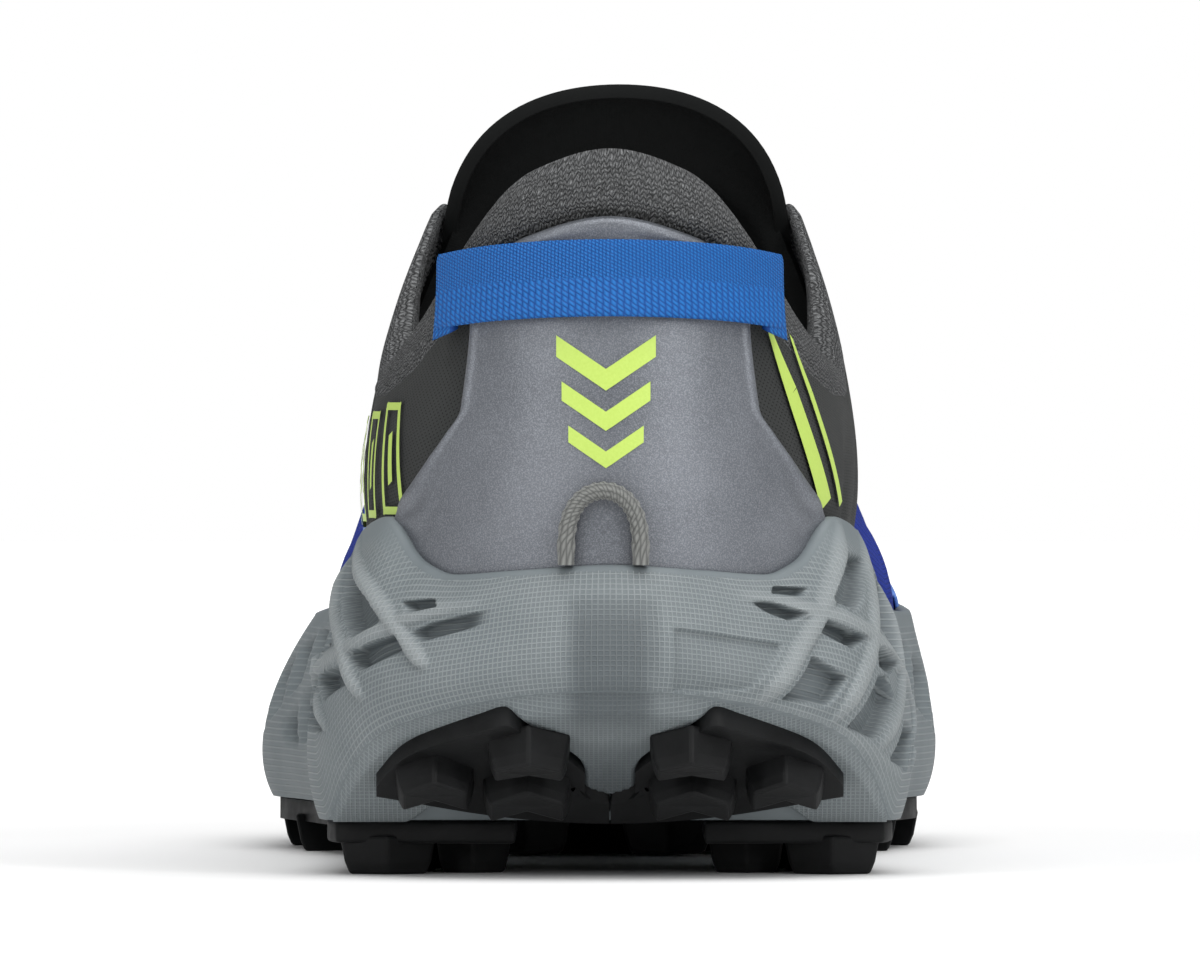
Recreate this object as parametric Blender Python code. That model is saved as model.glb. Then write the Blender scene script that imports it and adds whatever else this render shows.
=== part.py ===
# Trail running shoe for the left foot, empty, standing on its sole.
# Metres. +Y runs from heel to toe, -X is the outer (lateral) side, +Z is up.
# The shoe is modelled with its heel at y = 0 and is carried at the end to an origin on the floor,
# under the middle of the whole shoe.

import bisect
import functools
import math

import bmesh
import bpy
from mathutils import Vector

# Driving sizes of the last and the sole
LENGTH = 0.298
HEEL_WIDTH = 0.097
BALL_WIDTH = 0.113
HEEL_STACK = 0.038
FORE_STACK = 0.0295
HEEL_BEVEL = 0.022
TOE_SPRING = 0.0145
ARCH_RISE = 0.0015

# Heights of the upper above the footbed
COLLAR_HEIGHT = 0.076
INSTEP_HEIGHT = 0.0677
TOE_HEIGHT = 0.0285

# Walls, gaps and soft trim
GAP = 0.0003
SEAT_GAP = 0.0006
RUBBER = 0.0035
LUG_HEIGHT = 0.005
RIM_WALL = 0.0022
UPPER_WALL = 0.0022
COLLAR_PADDING = 0.0075
TONGUE_WALL = 0.0022
INSOLE_THICKNESS = 0.0042
OVERLAY_WALL = 0.0009
OVERLAY_GAP = 0.0005
RIB_DEPTH = 0.0022
RIB_WIDTH = 0.0036
WEBBING_WALL = 0.0014
WEBBING_WIDTH = 0.0125
CORD_DIAMETER = 0.0029
LACE_WIDTH = 0.0055
LACE_WALL = 0.0012

SIDES = (-1, 1)  # lateral, medial


class Table:
    """Named columns over a key, read between the rows by a monotone cubic, so that no value overshoots.
    level_ends is for tables that run round the shoe, where both sides meet without a point."""

    def __init__(self, names, rows, level_ends=False):
        self.keys = [row[0] for row in rows]
        self.level_ends = level_ends
        self.columns = {
            name: self.with_slopes([row[k + 1] for row in rows]) for k, name in enumerate(names.split())
        }

    def with_slopes(self, values):
        keys = self.keys
        steps = [(b - a) / (l - k) for a, b, k, l in zip(values, values[1:], keys, keys[1:])]
        slopes = [steps[0]]
        for before, after in zip(steps, steps[1:]):
            slopes.append(0.0 if before * after <= 0 else 2 * before * after / (before + after))
        slopes.append(steps[-1])
        if self.level_ends:
            slopes[0] = slopes[-1] = 0.0
        return values, slopes

    def at(self, name, key):
        values, slopes = self.columns[name]
        key = min(max(key, self.keys[0]), self.keys[-1])
        k = min(max(bisect.bisect_right(self.keys, key) - 1, 0), len(values) - 2)
        span = self.keys[k + 1] - self.keys[k]
        s = (key - self.keys[k]) / span
        start = (2 * s**3 - 3 * s**2 + 1) * values[k] + (s**3 - 2 * s**2 + s) * span * slopes[k]
        end = (3 * s**2 - 2 * s**3) * values[k + 1] + (s**3 - s**2) * span * slopes[k + 1]
        return start + end


# The spine: where each section stands, and which way it faces. The key runs round the shoe from the
# back of the heel (0) to the tip of the toe (1), alike on both sides.
# x is a share of BALL_WIDTH and y of LENGTH. turn is in degrees: 90 faces back, 0 sideways, -90 forward.
# ball says how far the local width has grown from HEEL_WIDTH to BALL_WIDTH. fan is the local width as a
# share of LENGTH, and gives a section that faces along the shoe its reach.
SPINE = Table(
    "x y turn ball fan",
    [
        (0.00, 0.000, 0.148, 90, 0.00, 0.3255),
        (0.09, 0.000, 0.148, 45, 0.00, 0.3255),
        (0.18, 0.000, 0.168, 5, 0.00, 0.3255),
        (0.225, 0.000, 0.225, 0, 0.05, 0.3280),
        (0.27, 0.000, 0.285, 0, 0.15, 0.3340),
        (0.38, 0.004, 0.420, 0, 0.45, 0.3500),
        (0.50, 0.012, 0.554, 0, 0.85, 0.3720),
        (0.60, 0.020, 0.671, 0, 1.00, 0.3790),
        (0.70, 0.038, 0.779, -8, 1.00, 0.3790),
        (0.80, 0.062, 0.839, -30, 1.00, 0.3790),
        (0.90, 0.062, 0.839, -60, 1.00, 0.3790),
        (1.00, 0.062, 0.839, -90, 1.00, 0.3790),
    ],
)

# The sole's widest line and its lower edge, as shares of the local width.
SOLE = Table(
    "lateral medial inset",
    [
        (0.00, 0.454, 0.454, 0.018),
        (0.09, 0.484, 0.484, 0.020),
        (0.18, 0.498, 0.498, 0.018),
        (0.27, 0.470, 0.446, 0.020),
        (0.38, 0.452, 0.400, 0.030),
        (0.50, 0.490, 0.425, 0.022),
        (0.60, 0.535, 0.463, 0.012),
        (0.70, 0.530, 0.436, 0.014),
        (0.80, 0.478, 0.384, 0.030),
        (0.90, 0.432, 0.390, 0.040),
        (1.00, 0.425, 0.425, 0.050),
    ],
    level_ends=True,
)

# The top edge of the midsole above the footbed, as a share of HEEL_STACK, with the two peaks beside the heel.
RIM = Table(
    "rise",
    [
        (0.000, 0.305),
        (0.045, 0.280),
        (0.080, 0.262),
        (0.100, 0.310),
        (0.128, 0.500),
        (0.160, 0.440),
        (0.200, 0.324),
        (0.270, 0.235),
        (0.380, 0.225),
        (0.500, 0.245),
        (0.600, 0.275),
        (0.700, 0.270),
        (0.800, 0.270),
        (0.900, 0.310),
        (1.000, 0.340),
    ],
    level_ends=True,
)

# The footbed and the underside of the midsole along the shoe. The key is a share of LENGTH.
BED = Table(
    "heel toe",
    [
        (0.00, 1.18, 0.00),
        (0.10, 1.035, 0.00),
        (0.20, 1.00, 0.00),
        (0.30, 0.88, 0.00),
        (0.42, 0.67, 0.00),
        (0.55, 0.27, 0.00),
        (0.67, 0.00, 0.00),
        (0.78, 0.00, 0.04),
        (0.84, 0.00, 0.14),
        (0.92, 0.00, 0.34),
        (1.00, 0.00, 0.60),
    ],
)
UNDERSIDE = Table(
    "bevel spring arch",
    [
        (0.00, 1.00, 0.00, 0.0),
        (0.03, 0.80, 0.00, 0.0),
        (0.06, 0.62, 0.00, 0.0),
        (0.09, 0.32, 0.00, 0.0),
        (0.12, 0.00, 0.00, 0.0),
        (0.33, 0.00, 0.00, 0.0),
        (0.43, 0.00, 0.00, 1.0),
        (0.52, 0.00, 0.00, 0.0),
        (0.69, 0.00, 0.00, 0.0),
        (0.75, 0.00, 0.07, 0.0),
        (0.82, 0.00, 0.24, 0.0),
        (0.90, 0.00, 0.52, 0.0),
        (1.00, 0.00, 1.00, 0.0),
    ],
)

# The upper's wall, section by section: a cubic curve from the foot of the wall to its top edge, or over
# the vamp to the ridge. foot, belly, shoulder and edge are shares of the local width; belly_up and
# shoulder_up are shares of the section's height; collar, instep and toe are shares of the three heights.
UPPER = Table(
    "foot belly belly_up shoulder shoulder_up edge lean collar instep toe lateral medial",
    [
        (0.000, 0.361, 0.433, 0.32, 0.304, 0.70, 0.352, 0.000, 1.000, 0.00, 0.00, 1.00, 1.00),
        (0.045, 0.356, 0.428, 0.32, 0.306, 0.70, 0.348, 0.000, 0.958, 0.00, 0.00, 1.00, 1.00),
        (0.090, 0.346, 0.423, 0.33, 0.312, 0.70, 0.336, 0.000, 0.842, 0.00, 0.00, 1.00, 1.00),
        (0.112, 0.342, 0.424, 0.34, 0.322, 0.70, 0.326, 0.000, 0.770, 0.00, 0.00, 1.00, 1.00),
        (0.135, 0.340, 0.428, 0.35, 0.340, 0.70, 0.322, 0.000, 0.704, 0.00, 0.00, 1.00, 1.00),
        (0.180, 0.340, 0.433, 0.38, 0.380, 0.72, 0.342, 0.000, 0.622, 0.00, 0.00, 1.00, 1.00),
        (0.225, 0.337, 0.436, 0.40, 0.412, 0.72, 0.362, 0.002, 0.582, 0.00, 0.00, 1.00, 1.00),
        (0.250, 0.340, 0.438, 0.40, 0.410, 0.72, 0.352, 0.004, 0.450, 0.18, 0.00, 1.00, 1.00),
        (0.275, 0.342, 0.438, 0.40, 0.398, 0.72, 0.330, 0.006, 0.290, 0.44, 0.00, 1.00, 1.00),
        (0.300, 0.343, 0.432, 0.40, 0.374, 0.73, 0.300, 0.008, 0.130, 0.75, 0.00, 1.00, 1.00),
        (0.325, 0.344, 0.424, 0.40, 0.348, 0.76, 0.272, 0.010, 0.000, 1.00, 0.00, 1.01, 0.99),
        (0.380, 0.345, 0.420, 0.40, 0.322, 0.86, 0.211, 0.012, 0.000, 0.94, 0.00, 1.03, 0.97),
        (0.440, 0.352, 0.432, 0.42, 0.312, 0.93, 0.168, 0.010, 0.000, 0.84, 0.00, 1.06, 0.96),
        (0.500, 0.372, 0.455, 0.45, 0.296, 0.98, 0.127, 0.007, 0.000, 0.74, 0.00, 1.07, 0.96),
        (0.540, 0.384, 0.467, 0.49, 0.285, 1.00, 0.100, 0.005, 0.000, 0.68, 0.00, 1.07, 0.965),
        (0.560, 0.390, 0.474, 0.52, 0.279, 1.00, 0.078, 0.003, 0.000, 0.64, 0.02, 1.07, 0.965),
        (0.570, 0.393, 0.478, 0.53, 0.276, 1.00, 0.050, 0.001, 0.000, 0.60, 0.08, 1.07, 0.965),
        (0.575, 0.394, 0.480, 0.54, 0.274, 1.00, 0.000, 0.000, 0.000, 0.58, 0.12, 1.07, 0.965),
        (0.600, 0.400, 0.484, 0.57, 0.270, 1.00, 0.000, 0.000, 0.000, 0.46, 0.39, 1.06, 0.965),
        (0.700, 0.405, 0.468, 0.60, 0.262, 1.02, 0.000, 0.000, 0.000, 0.16, 0.75, 1.08, 0.95),
        (0.800, 0.362, 0.405, 0.62, 0.232, 1.02, 0.000, 0.000, 0.000, 0.00, 1.00, 1.07, 0.93),
        (0.900, 0.335, 0.365, 0.62, 0.210, 1.02, 0.000, 0.000, 0.000, 0.00, 1.00, 1.03, 0.97),
        (1.000, 0.322, 0.350, 0.62, 0.200, 1.02, 0.000, 0.000, 0.000, 0.00, 1.00, 1.00, 1.00),
    ],
    level_ends=True,
)
THROAT_END = 0.575  # key where the throat closes over the vamp

# The tongue lies under the throat between these keys. Above the throat it stands free, and rises by a share
# of INSTEP_HEIGHT while it leans back by a share of LENGTH.
TONGUE_FOOT, TONGUE_HEAD = 0.565, 0.325
TONGUE_RISE, TONGUE_BACK = 0.17, 0.045
TONGUE_FLANK = 0.30  # how far down the wall its sides reach inside the eyestays, as a share of the wall
TONGUE_CLEARANCE = 0.0009


def local_width(t):
    return HEEL_WIDTH + (BALL_WIDTH - HEEL_WIDTH) * SPINE.at("ball", t)


def in_plan(side, t, reach):
    """The point at a reach, as a share of the local width, out from the spine at key t."""
    turn = math.radians(SPINE.at("turn", t))
    x = SPINE.at("x", t) * BALL_WIDTH + side * reach * local_width(t) * math.cos(turn)
    y = SPINE.at("y", t) * LENGTH - reach * SPINE.at("fan", t) * LENGTH * math.sin(turn)
    return x, y


def bed_height(y):
    share = y / LENGTH
    return FORE_STACK + (HEEL_STACK - FORE_STACK) * BED.at("heel", share) + TOE_SPRING * BED.at("toe", share)


def underside_height(y):
    share = y / LENGTH
    lifts = (
        HEEL_BEVEL * UNDERSIDE.at("bevel", share)
        + TOE_SPRING * UNDERSIDE.at("spring", share)
        + ARCH_RISE * UNDERSIDE.at("arch", share)
    )
    return LUG_HEIGHT + RUBBER + GAP + lifts


def bezier(points, s):
    a, b, c, d = points
    return a * (1 - s) ** 3 + b * (3 * s * (1 - s) ** 2) + c * (3 * s * s * (1 - s)) + d * s**3


@functools.lru_cache(maxsize=None)
def upper_curve(side, t):
    """The upper's outer face in one section, as reaches and heights of a cubic curve."""
    hand = UPPER.at("lateral" if side < 0 else "medial", t)
    spine_y = SPINE.at("y", t) * LENGTH
    foot = UPPER.at("foot", t) * hand
    low = bed_height(in_plan(side, t, foot)[1])
    rise = (
        COLLAR_HEIGHT * UPPER.at("collar", t)
        + INSTEP_HEIGHT * UPPER.at("instep", t)
        + TOE_HEIGHT * UPPER.at("toe", t)
    )
    high = bed_height(spine_y) + rise
    lean = side * UPPER.at("lean", t)
    shoulder = UPPER.at("shoulder", t) * hand + lean
    reach = [foot, UPPER.at("belly", t) * hand, shoulder, UPPER.at("edge", t) + lean]
    belly_z = low + UPPER.at("belly_up", t) * (high - low)
    shoulder_z = low + UPPER.at("shoulder_up", t) * (high - low)
    return reach, [low, belly_z, shoulder_z, high]


def upper_section(side, t, v):
    """Reach and height of the upper's outer face, from the foot of its wall (v = 0) to its edge (1)."""
    reach, lift = upper_curve(side, t)
    return bezier(reach, v), bezier(lift, v)


def upper_point(side, t, v):
    reach, z = upper_section(side, t, v)
    x, y = in_plan(side, t, reach)
    return Vector((x, y, z))


def upper_normal(side, t, v):
    """Outward direction of the upper's outer face."""
    step = 0.004
    t0, t1 = max(t - step, 0.0), min(t + step, 1.0)
    v0, v1 = max(v - step, 0.0), min(v + step, 1.0)
    along = upper_point(side, t1, v) - upper_point(side, t0, v)
    if t == 0.0:
        along = upper_point(side, step, v) - upper_point(-side, step, v)
    if t == 1.0:
        along = upper_point(-side, 1.0 - step, v) - upper_point(side, 1.0 - step, v)
    up = upper_point(side, t, v1) - upper_point(side, t, v0)
    return (along.cross(up) * side).normalized()


def upper_at_height(side, t, z):
    """The place v up the wall where the upper reaches height z."""
    low, high = 0.0, 1.0
    for _ in range(24):
        middle = (low + high) / 2
        if upper_section(side, t, middle)[1] < z:
            low = middle
        else:
            high = middle
    return low


@functools.lru_cache(maxsize=None)
def rim_height(t):
    return bed_height(SPINE.at("y", t) * LENGTH) + HEEL_STACK * RIM.at("rise", t)


def in_plan_off(side, t, reach, off):
    """A point in plan, moved off metres further out along its section."""
    return in_plan(side, t, reach + off / local_width(t))


# The lattice on the midsole's side: steep ribs and flat ribs that cross, with sunk cells between them.
# Steep ribs lean forward as they climb and flat ribs fall toward the toe. Keys are measured at the height
# of the first crossing, beside the heel, and heights are shares of HEEL_STACK.
SIDE_LENGTH = 0.385  # from the back of the heel round one side to the toe
CROSSING_T, CROSSING_UP = 0.098, 1.08
STEEP_PITCH, STEEP_GROWTH, STEEP_LEAN = 0.0365, 0.0006, 0.080
FLAT_PITCH, FLAT_FALL = 0.40, -2.9
CELL_BEVEL = 0.0012
CELLS_UP = 2
FIRST_CELL, LAST_CELL = -1, 14
LATTICE_FLOOR = Table(
    "lateral medial",
    [
        (0.000, 1.16, 1.13),
        (0.040, 1.08, 1.00),
        (0.064, 0.99, 0.90),
        (0.083, 0.91, 0.82),
        (0.121, 0.78, 0.68),
        (0.180, 0.58, 0.52),
        (0.450, 0.46, 0.46),
        (0.750, 0.52, 0.52),
        (1.000, 0.80, 0.80),
    ],
)
NOTCH_HALF, NOTCH_DEPTH = 0.0068, 0.0010  # the sunk strip down the middle of the heel


def ease(value, low, high):
    s = min(max((value - low) / (high - low), 0.0), 1.0)
    return s * s * (3 - 2 * s)


@functools.lru_cache(maxsize=None)
def wall_curve(side, t):
    """The midsole's side in one section, as reaches and heights of a cubic curve."""
    widest = SOLE.at("lateral" if side < 0 else "medial", t)
    low_reach = widest - SOLE.at("inset", t)
    low = underside_height(in_plan(side, t, low_reach)[1])
    high = rim_height(t)
    seat = upper_section(side, t, upper_at_height(side, t, high))[0]
    rim_reach = seat + (SEAT_GAP + RIM_WALL) / local_width(t)
    lift = [low, low + 0.26 * (high - low), low + 0.62 * (high - low), high]
    return [low_reach, widest + 0.026, widest - 0.006, rim_reach], lift


def sole_wall(side, t, w, sunk=0.0):
    """The midsole's side from its lower edge (w = 0) to the outside of its top edge (1)."""
    reach, lift = wall_curve(side, t)
    x, y = in_plan_off(side, t, bezier(reach, w), -sunk)
    return Vector((x, y, bezier(lift, w)))


def sole_wall_at(side, t, z, sunk=0.0):
    """The midsole's side at height z."""
    lift = wall_curve(side, t)[1]
    low, high = 0.0, 1.0
    for _ in range(18):
        middle = (low + high) / 2
        if bezier(lift, middle) < z:
            low = middle
        else:
            high = middle
    return sole_wall(side, t, low, sunk)


def sheared(key, z):
    """The key at height z of a line that leans with the steep ribs. The lean dies away toward the heel's
    middle and the toe's tip, where the two sides meet."""
    lean = STEEP_LEAN * min(key / 0.09, 1.0) * min((1 - key) / 0.15, 1.0)
    return key + lean * (z / HEEL_STACK - CROSSING_UP)


def flat_rib(key, k):
    """The height at which flat rib k crosses the leaning line at a key."""
    lean = STEEP_LEAN * min(key / 0.09, 1.0) * min((1 - key) / 0.15, 1.0)
    start = CROSSING_UP + k * FLAT_PITCH + FLAT_FALL * (key - CROSSING_T - lean * CROSSING_UP)
    return HEEL_STACK * start / (1 - FLAT_FALL * lean)


def wall_limits(side, key):
    """The lowest and highest point of the midsole's side on a leaning line."""
    low, high = LUG_HEIGHT + RUBBER, rim_height(key)
    for _ in range(12):
        high = rim_height(sheared(key, high))
        low = wall_curve(side, sheared(key, low))[1][0]
    return low, high


def cell_limits(side, key):
    """The band of the side that is sunk between the ribs."""
    floor = LATTICE_FLOOR.at("lateral" if side < 0 else "medial", key - 0.025) * HEEL_STACK
    low, high = wall_limits(side, key)
    return max(floor, low + 0.004), high - 0.0032


def steep_rib(a):
    return CROSSING_T + a * STEEP_PITCH + max(a, 0) ** 2 * STEEP_GROWTH


def cells_of(side, a):
    """The flat ribs under the cells between steep ribs a and a + 1."""
    key = (steep_rib(a) + steep_rib(a + 1)) / 2
    floor, roof = cell_limits(side, key)
    found = []
    for k in range(-12, 30):
        low = max(flat_rib(key, k) + RIB_WIDTH / 2, floor)
        high = min(flat_rib(key, k + 1) - RIB_WIDTH / 2, roof)
        if high - low > 0.0026:
            found.append(k)
    return found[-CELLS_UP:]


def lattice_rows(side, key, cells):
    """Heights and sunk shares up a leaning line: two rows under the cells, four a cell, and the top."""
    low, high = wall_limits(side, key)
    floor, roof = cell_limits(side, key)
    under = max(flat_rib(key, cells[0]) + RIB_WIDTH / 2, floor) if cells else low + 0.4 * (high - low)
    heights, sunk = [low, low + 0.55 * (under - low)], [0, 0]
    for k in cells:
        start = max(flat_rib(key, k) + RIB_WIDTH / 2, floor, heights[-1] + 0.0008)
        end = max(min(flat_rib(key, k + 1) - RIB_WIDTH / 2, roof), start + 0.0008)
        bevel = min(CELL_BEVEL, 0.3 * (end - start))
        heights += [start, start + bevel, end - bevel, end]
        sunk += [0, 1, 1, 0]
    spare = 4 * (CELLS_UP - len(cells)) + 1
    top = heights[-1]
    heights += [top + (high - top) * (k + 1) / (spare + 1) for k in range(spare + 1)]
    sunk += [0] * (spare + 1)
    return heights, sunk


def lattice_columns():
    """Leaning lines from heel to toe: key, the steep rib before it, and whether it runs along cell floors."""
    half = RIB_WIDTH / 2 / SIDE_LENGTH / 0.86
    bevel = CELL_BEVEL / SIDE_LENGTH / 0.86
    middle = NOTCH_HALF / SIDE_LENGTH
    columns = [(0.0, None, 0), (middle, None, 0), (middle + 0.0035, None, 0)]
    columns += [(key, None, 0) for key in (0.032, 0.044)]
    for a in range(FIRST_CELL, LAST_CELL + 1):
        rib, following = steep_rib(a), steep_rib(a + 1)
        columns += [(rib + half, a, 0), (rib + half + bevel, a, 1)]
        columns += [(following - half - bevel, a, 1), (following - half, a, 0)]
    last = columns[-1][0]
    count = 8
    columns += [(last + (1 - last) * (k + 1) / count, None, 0) for k in range(count)]
    return columns


def sole_inner(side, t, z):
    """The inside of the midsole's cup, which follows the upper with a small clearance."""
    seat = upper_section(side, t, upper_at_height(side, t, z))[0]
    x, y = in_plan_off(side, t, seat, SEAT_GAP)
    return Vector((x, y, z))


def footbed(side, t):
    foot = upper_section(side, t, 0)[0]
    x, y = in_plan_off(side, t, foot, SEAT_GAP)
    return Vector((x, y, bed_height(y)))


# Mesh helpers


def sheet(bm, across, along, place):
    """Adds a grid of across by along faces, with each corner put where place(i, j) says."""
    made = bmesh.ops.create_grid(bm, x_segments=across, y_segments=along, size=0.5)
    for vert in made["verts"]:
        vert.co = place(round((vert.co.x + 0.5) * across), round((vert.co.y + 0.5) * along))
    return made["verts"]


def weld(bm):
    bmesh.ops.remove_doubles(bm, verts=bm.verts, dist=0.00002)
    bmesh.ops.recalc_face_normals(bm, faces=bm.faces)


def face_away(bm, centre):
    """Turns an open sheet so that its faces look away from a point inside the shoe, each quad cut alike."""
    bmesh.ops.triangulate(bm, faces=bm.faces, quad_method="FIXED")
    bm.normal_update()
    if sum((face.calc_center_median() - centre).dot(face.normal) * face.calc_area() for face in bm.faces) < 0:
        bmesh.ops.reverse_faces(bm, faces=bm.faces)


def tube(bm, rings):
    """A closed bar through a row of rings of corners."""
    sides = len(rings[0])
    sheet(bm, sides, len(rings) - 1, lambda i, j: rings[j][i % sides])
    for ring in (rings[0], rings[-1]):
        bm.faces.new([bm.verts.new(corner) for corner in ring])


def grow_inward(made, thickness):
    wall = made.modifiers.new("wall", "SOLIDIFY")
    wall.thickness = thickness
    wall.offset = -1
    return wall


def join(made, other):
    """Makes one solid of a node and a helper, which is not kept as a node."""
    other.hide_render = True
    merge = made.modifiers.new("join", "BOOLEAN")
    merge.operation = "UNION"
    merge.solver = "EXACT"
    merge.object = other
    return merge


INSIDE = Vector((0, 0.14, 0.05))


def material(name, colour, roughness, metallic=0.0):
    made = bpy.data.materials.new(name)
    made.use_nodes = True
    shader = made.node_tree.nodes["Principled BSDF"]
    shader.inputs["Base Color"].default_value = (*colour, 1.0)
    shader.inputs["Roughness"].default_value = roughness
    shader.inputs["Metallic"].default_value = metallic
    made.diffuse_color = (*colour, 1.0)
    return made


def node(name, bm, finish, smooth=True):
    mesh = bpy.data.meshes.new(name)
    bm.to_mesh(mesh)
    bm.free()
    if smooth:
        mesh.shade_smooth()
        mesh.set_sharp_from_angle(angle=math.radians(40))
    mesh.materials.append(finish)
    made = bpy.data.objects.new(name, mesh)
    bpy.context.scene.collection.objects.link(made)
    return made


def keys_between(start, end, count):
    return [start + (end - start) * k / count for k in range(count + 1)]


def around(keys):
    """The stations once round the shoe: lateral toe to heel, then medial heel to toe."""
    return [(-1, t) for t in reversed(keys)] + [(1, t) for t in keys[1:]]


UPPER_RISES = (0.0, 0.13, 0.27, 0.41, 0.54, 0.65, 0.75, 0.84, 0.92, 1.0)
UPPER_KEYS = (
    keys_between(0.0, 0.18, 11)
    + keys_between(0.18, 0.34, 9)[1:]
    + keys_between(0.34, 0.54, 6)[1:]
    + [0.555, 0.565, 0.572, THROAT_END]
    + keys_between(0.60, 1.0, 9)
)


def padding_share(t, v):
    """How far the collar's padding has grown at a place: 1 along the collar's edge round the ankle."""
    return ease(v, 0.45, 0.86) * (1 - ease(t, 0.22, 0.30))


def make_upper(finish):
    """One hollow wall, open at collar, throat and underneath. It grows inward from its outer face."""
    rows = len(UPPER_RISES) - 1
    stations = around(UPPER_KEYS)
    bm = bmesh.new()
    shares = bm.verts.layers.float.new("padding")

    def place(i, j):
        side, t = stations[i]
        return upper_point(side, t, UPPER_RISES[j]) + Vector((0, 0, GAP))

    made = bmesh.ops.create_grid(bm, x_segments=len(stations) - 1, y_segments=rows, size=0.5)
    for vert in made["verts"]:
        i, j = round((vert.co.x + 0.5) * (len(stations) - 1)), round((vert.co.y + 0.5) * rows)
        vert.co = place(i, j)
        vert[shares] = padding_share(stations[i][1], UPPER_RISES[j])
    weld(bm)
    face_away(bm, INSIDE)
    bm.verts.index_update()
    weights = [vert[shares] for vert in bm.verts]
    upper = node("upper", bm, finish)
    group = upper.vertex_groups.new(name="padding")
    for index, weight in enumerate(weights):
        group.add([index], weight, "REPLACE")
    wall = grow_inward(upper, COLLAR_PADDING)
    wall.vertex_group = "padding"
    wall.thickness_vertex_group = UPPER_WALL / COLLAR_PADDING
    return upper


def make_midsole(finish):
    """A cup of foam: ribbed side, top edge, the inside that holds the upper, footbed and underside."""
    columns = lattice_columns()
    lines = {}
    for side in SIDES:
        for n, (key, a, on_floor) in enumerate(columns):
            heights, sunk = lattice_rows(side, key, cells_of(side, a) if a is not None else [])
            points = []
            for z, share in zip(heights, sunk):
                depth = RIB_DEPTH * share * on_floor
                if n < 2:
                    depth = NOTCH_DEPTH * ease(z, 0.024, 0.027) * (1 - ease(z, 0.042, 0.045))
                points.append(sole_wall_at(side, sheared(key, z), z, depth))
            lines[side, n] = sheared(key, heights[0]), sheared(key, heights[-1]), points
    count = len(columns) - 1
    stations = [(-1, n) for n in range(count, -1, -1)] + [(1, n) for n in range(1, count + 1)]
    rows = len(lines[1, 0][2]) - 1
    bm = bmesh.new()
    sheet(bm, 2 * count, rows, lambda i, j: lines[stations[i]][2][j])

    def cup(i, j):
        side, n = stations[i]
        rim_key, outside = lines[side, n][1], lines[side, n][2][-1]
        bed = footbed(side, rim_key)
        if j == 0:
            return outside
        if j == 4:
            return bed
        return sole_inner(side, rim_key, outside.z + (bed.z - outside.z) * (j - 1) / 3)

    sheet(bm, 2 * count, 4, cup)
    sheet(bm, 1, count, lambda i, j: lines[SIDES[i], j][2][0])
    sheet(bm, 1, count, lambda i, j: footbed(SIDES[i], lines[SIDES[i], j][1]))
    weld(bm)
    return node("midsole", bm, finish)


def make_insole(finish):
    """A sock liner that lies on the footbed inside the upper's wall."""
    keys = UPPER_KEYS
    stations = around(keys)

    def edge(side, t, up):
        foot = upper_section(side, t, 0)[0]
        x, y = in_plan_off(side, t, foot, -(UPPER_WALL + 2.5 * SEAT_GAP))
        return Vector((x, y, bed_height(y) + GAP + up))

    bm = bmesh.new()
    sheet(bm, len(stations) - 1, 1, lambda i, j: edge(*stations[i], j * INSOLE_THICKNESS))
    for up in (0.0, INSOLE_THICKNESS):
        sheet(bm, 1, len(keys) - 1, lambda i, j, up=up: edge(SIDES[i], keys[j], up))
    weld(bm)
    return node("insole", bm, finish)


def wall_thickness(t, v):
    return UPPER_WALL + (COLLAR_PADDING - UPPER_WALL) * padding_share(t, v)


def across_throat(t, u, off, pull=0.36):
    """Across the throat at a distance off the upper's outer face. |u| up to 1 spans the open throat with an
    arch that leaves both walls along their slope, and beyond 1 the point runs down the wall."""

    def on_wall(side, v):
        away = off if off >= 0 else off - wall_thickness(t, v)
        return upper_point(side, t, v) + upper_normal(side, t, v) * away

    side = -1 if u < 0 else 1
    if abs(u) >= 1:
        return on_wall(side, 2 - abs(u))
    ends = [on_wall(s, 1.0) for s in SIDES]
    slopes = [(end - on_wall(s, 0.9)).normalized() for s, end in zip(SIDES, ends)]
    reach = (ends[1] - ends[0]).length * pull
    return bezier([ends[0], ends[0] + slopes[0] * reach, ends[1] + slopes[1] * reach, ends[1]], (u + 1) / 2)


def make_tongue(finish):
    """A thin arched sheet under the throat. Its sides lie inside the eyestays and its head stands free."""
    under, free, across = 9, 4, 16
    bend = 0.56

    def place(i, j):
        share = i / across * 2 - 1
        u = share / bend
        if abs(u) > 1:
            u = math.copysign(1 + TONGUE_FLANK * (abs(share) - bend) / (1 - bend), share)
        t = TONGUE_FOOT + (TONGUE_HEAD - TONGUE_FOOT) * min(j / under, 1.0)
        point = across_throat(t, u, -TONGUE_CLEARANCE)
        rise = max(j - under, 0) / free
        crown = max(1 - abs(share / 0.62) ** 2.6, 0.0) ** 0.62
        up = Vector((0, -TONGUE_BACK * LENGTH * rise, TONGUE_RISE * INSTEP_HEIGHT * rise * (2 - rise) * 1.1))
        return point + up * max(crown, 0.06)

    bm = bmesh.new()
    sheet(bm, across, under + free, place)
    weld(bm)
    face_away(bm, INSIDE)
    tongue = node("tongue", bm, finish)
    grow_inward(tongue, TONGUE_WALL)
    return tongue


# Rubber outsole


def sole_edge(side, t, inset):
    """A point on the underside's outline, moved in from the midsole's lower edge."""
    low_reach = SOLE.at("lateral" if side < 0 else "medial", t) - SOLE.at("inset", t)
    return in_plan_off(side, t, low_reach, -inset)


def on_underside(x, y, below=0.0):
    """A point under the midsole, at a distance below it along the underside's own slope."""
    step = 0.001
    slope = (underside_height(y + step) - underside_height(y - step)) / (2 * step)
    down = Vector((0, slope, -1)).normalized()
    return Vector((x, y, underside_height(y) - GAP)) + down * below


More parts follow.
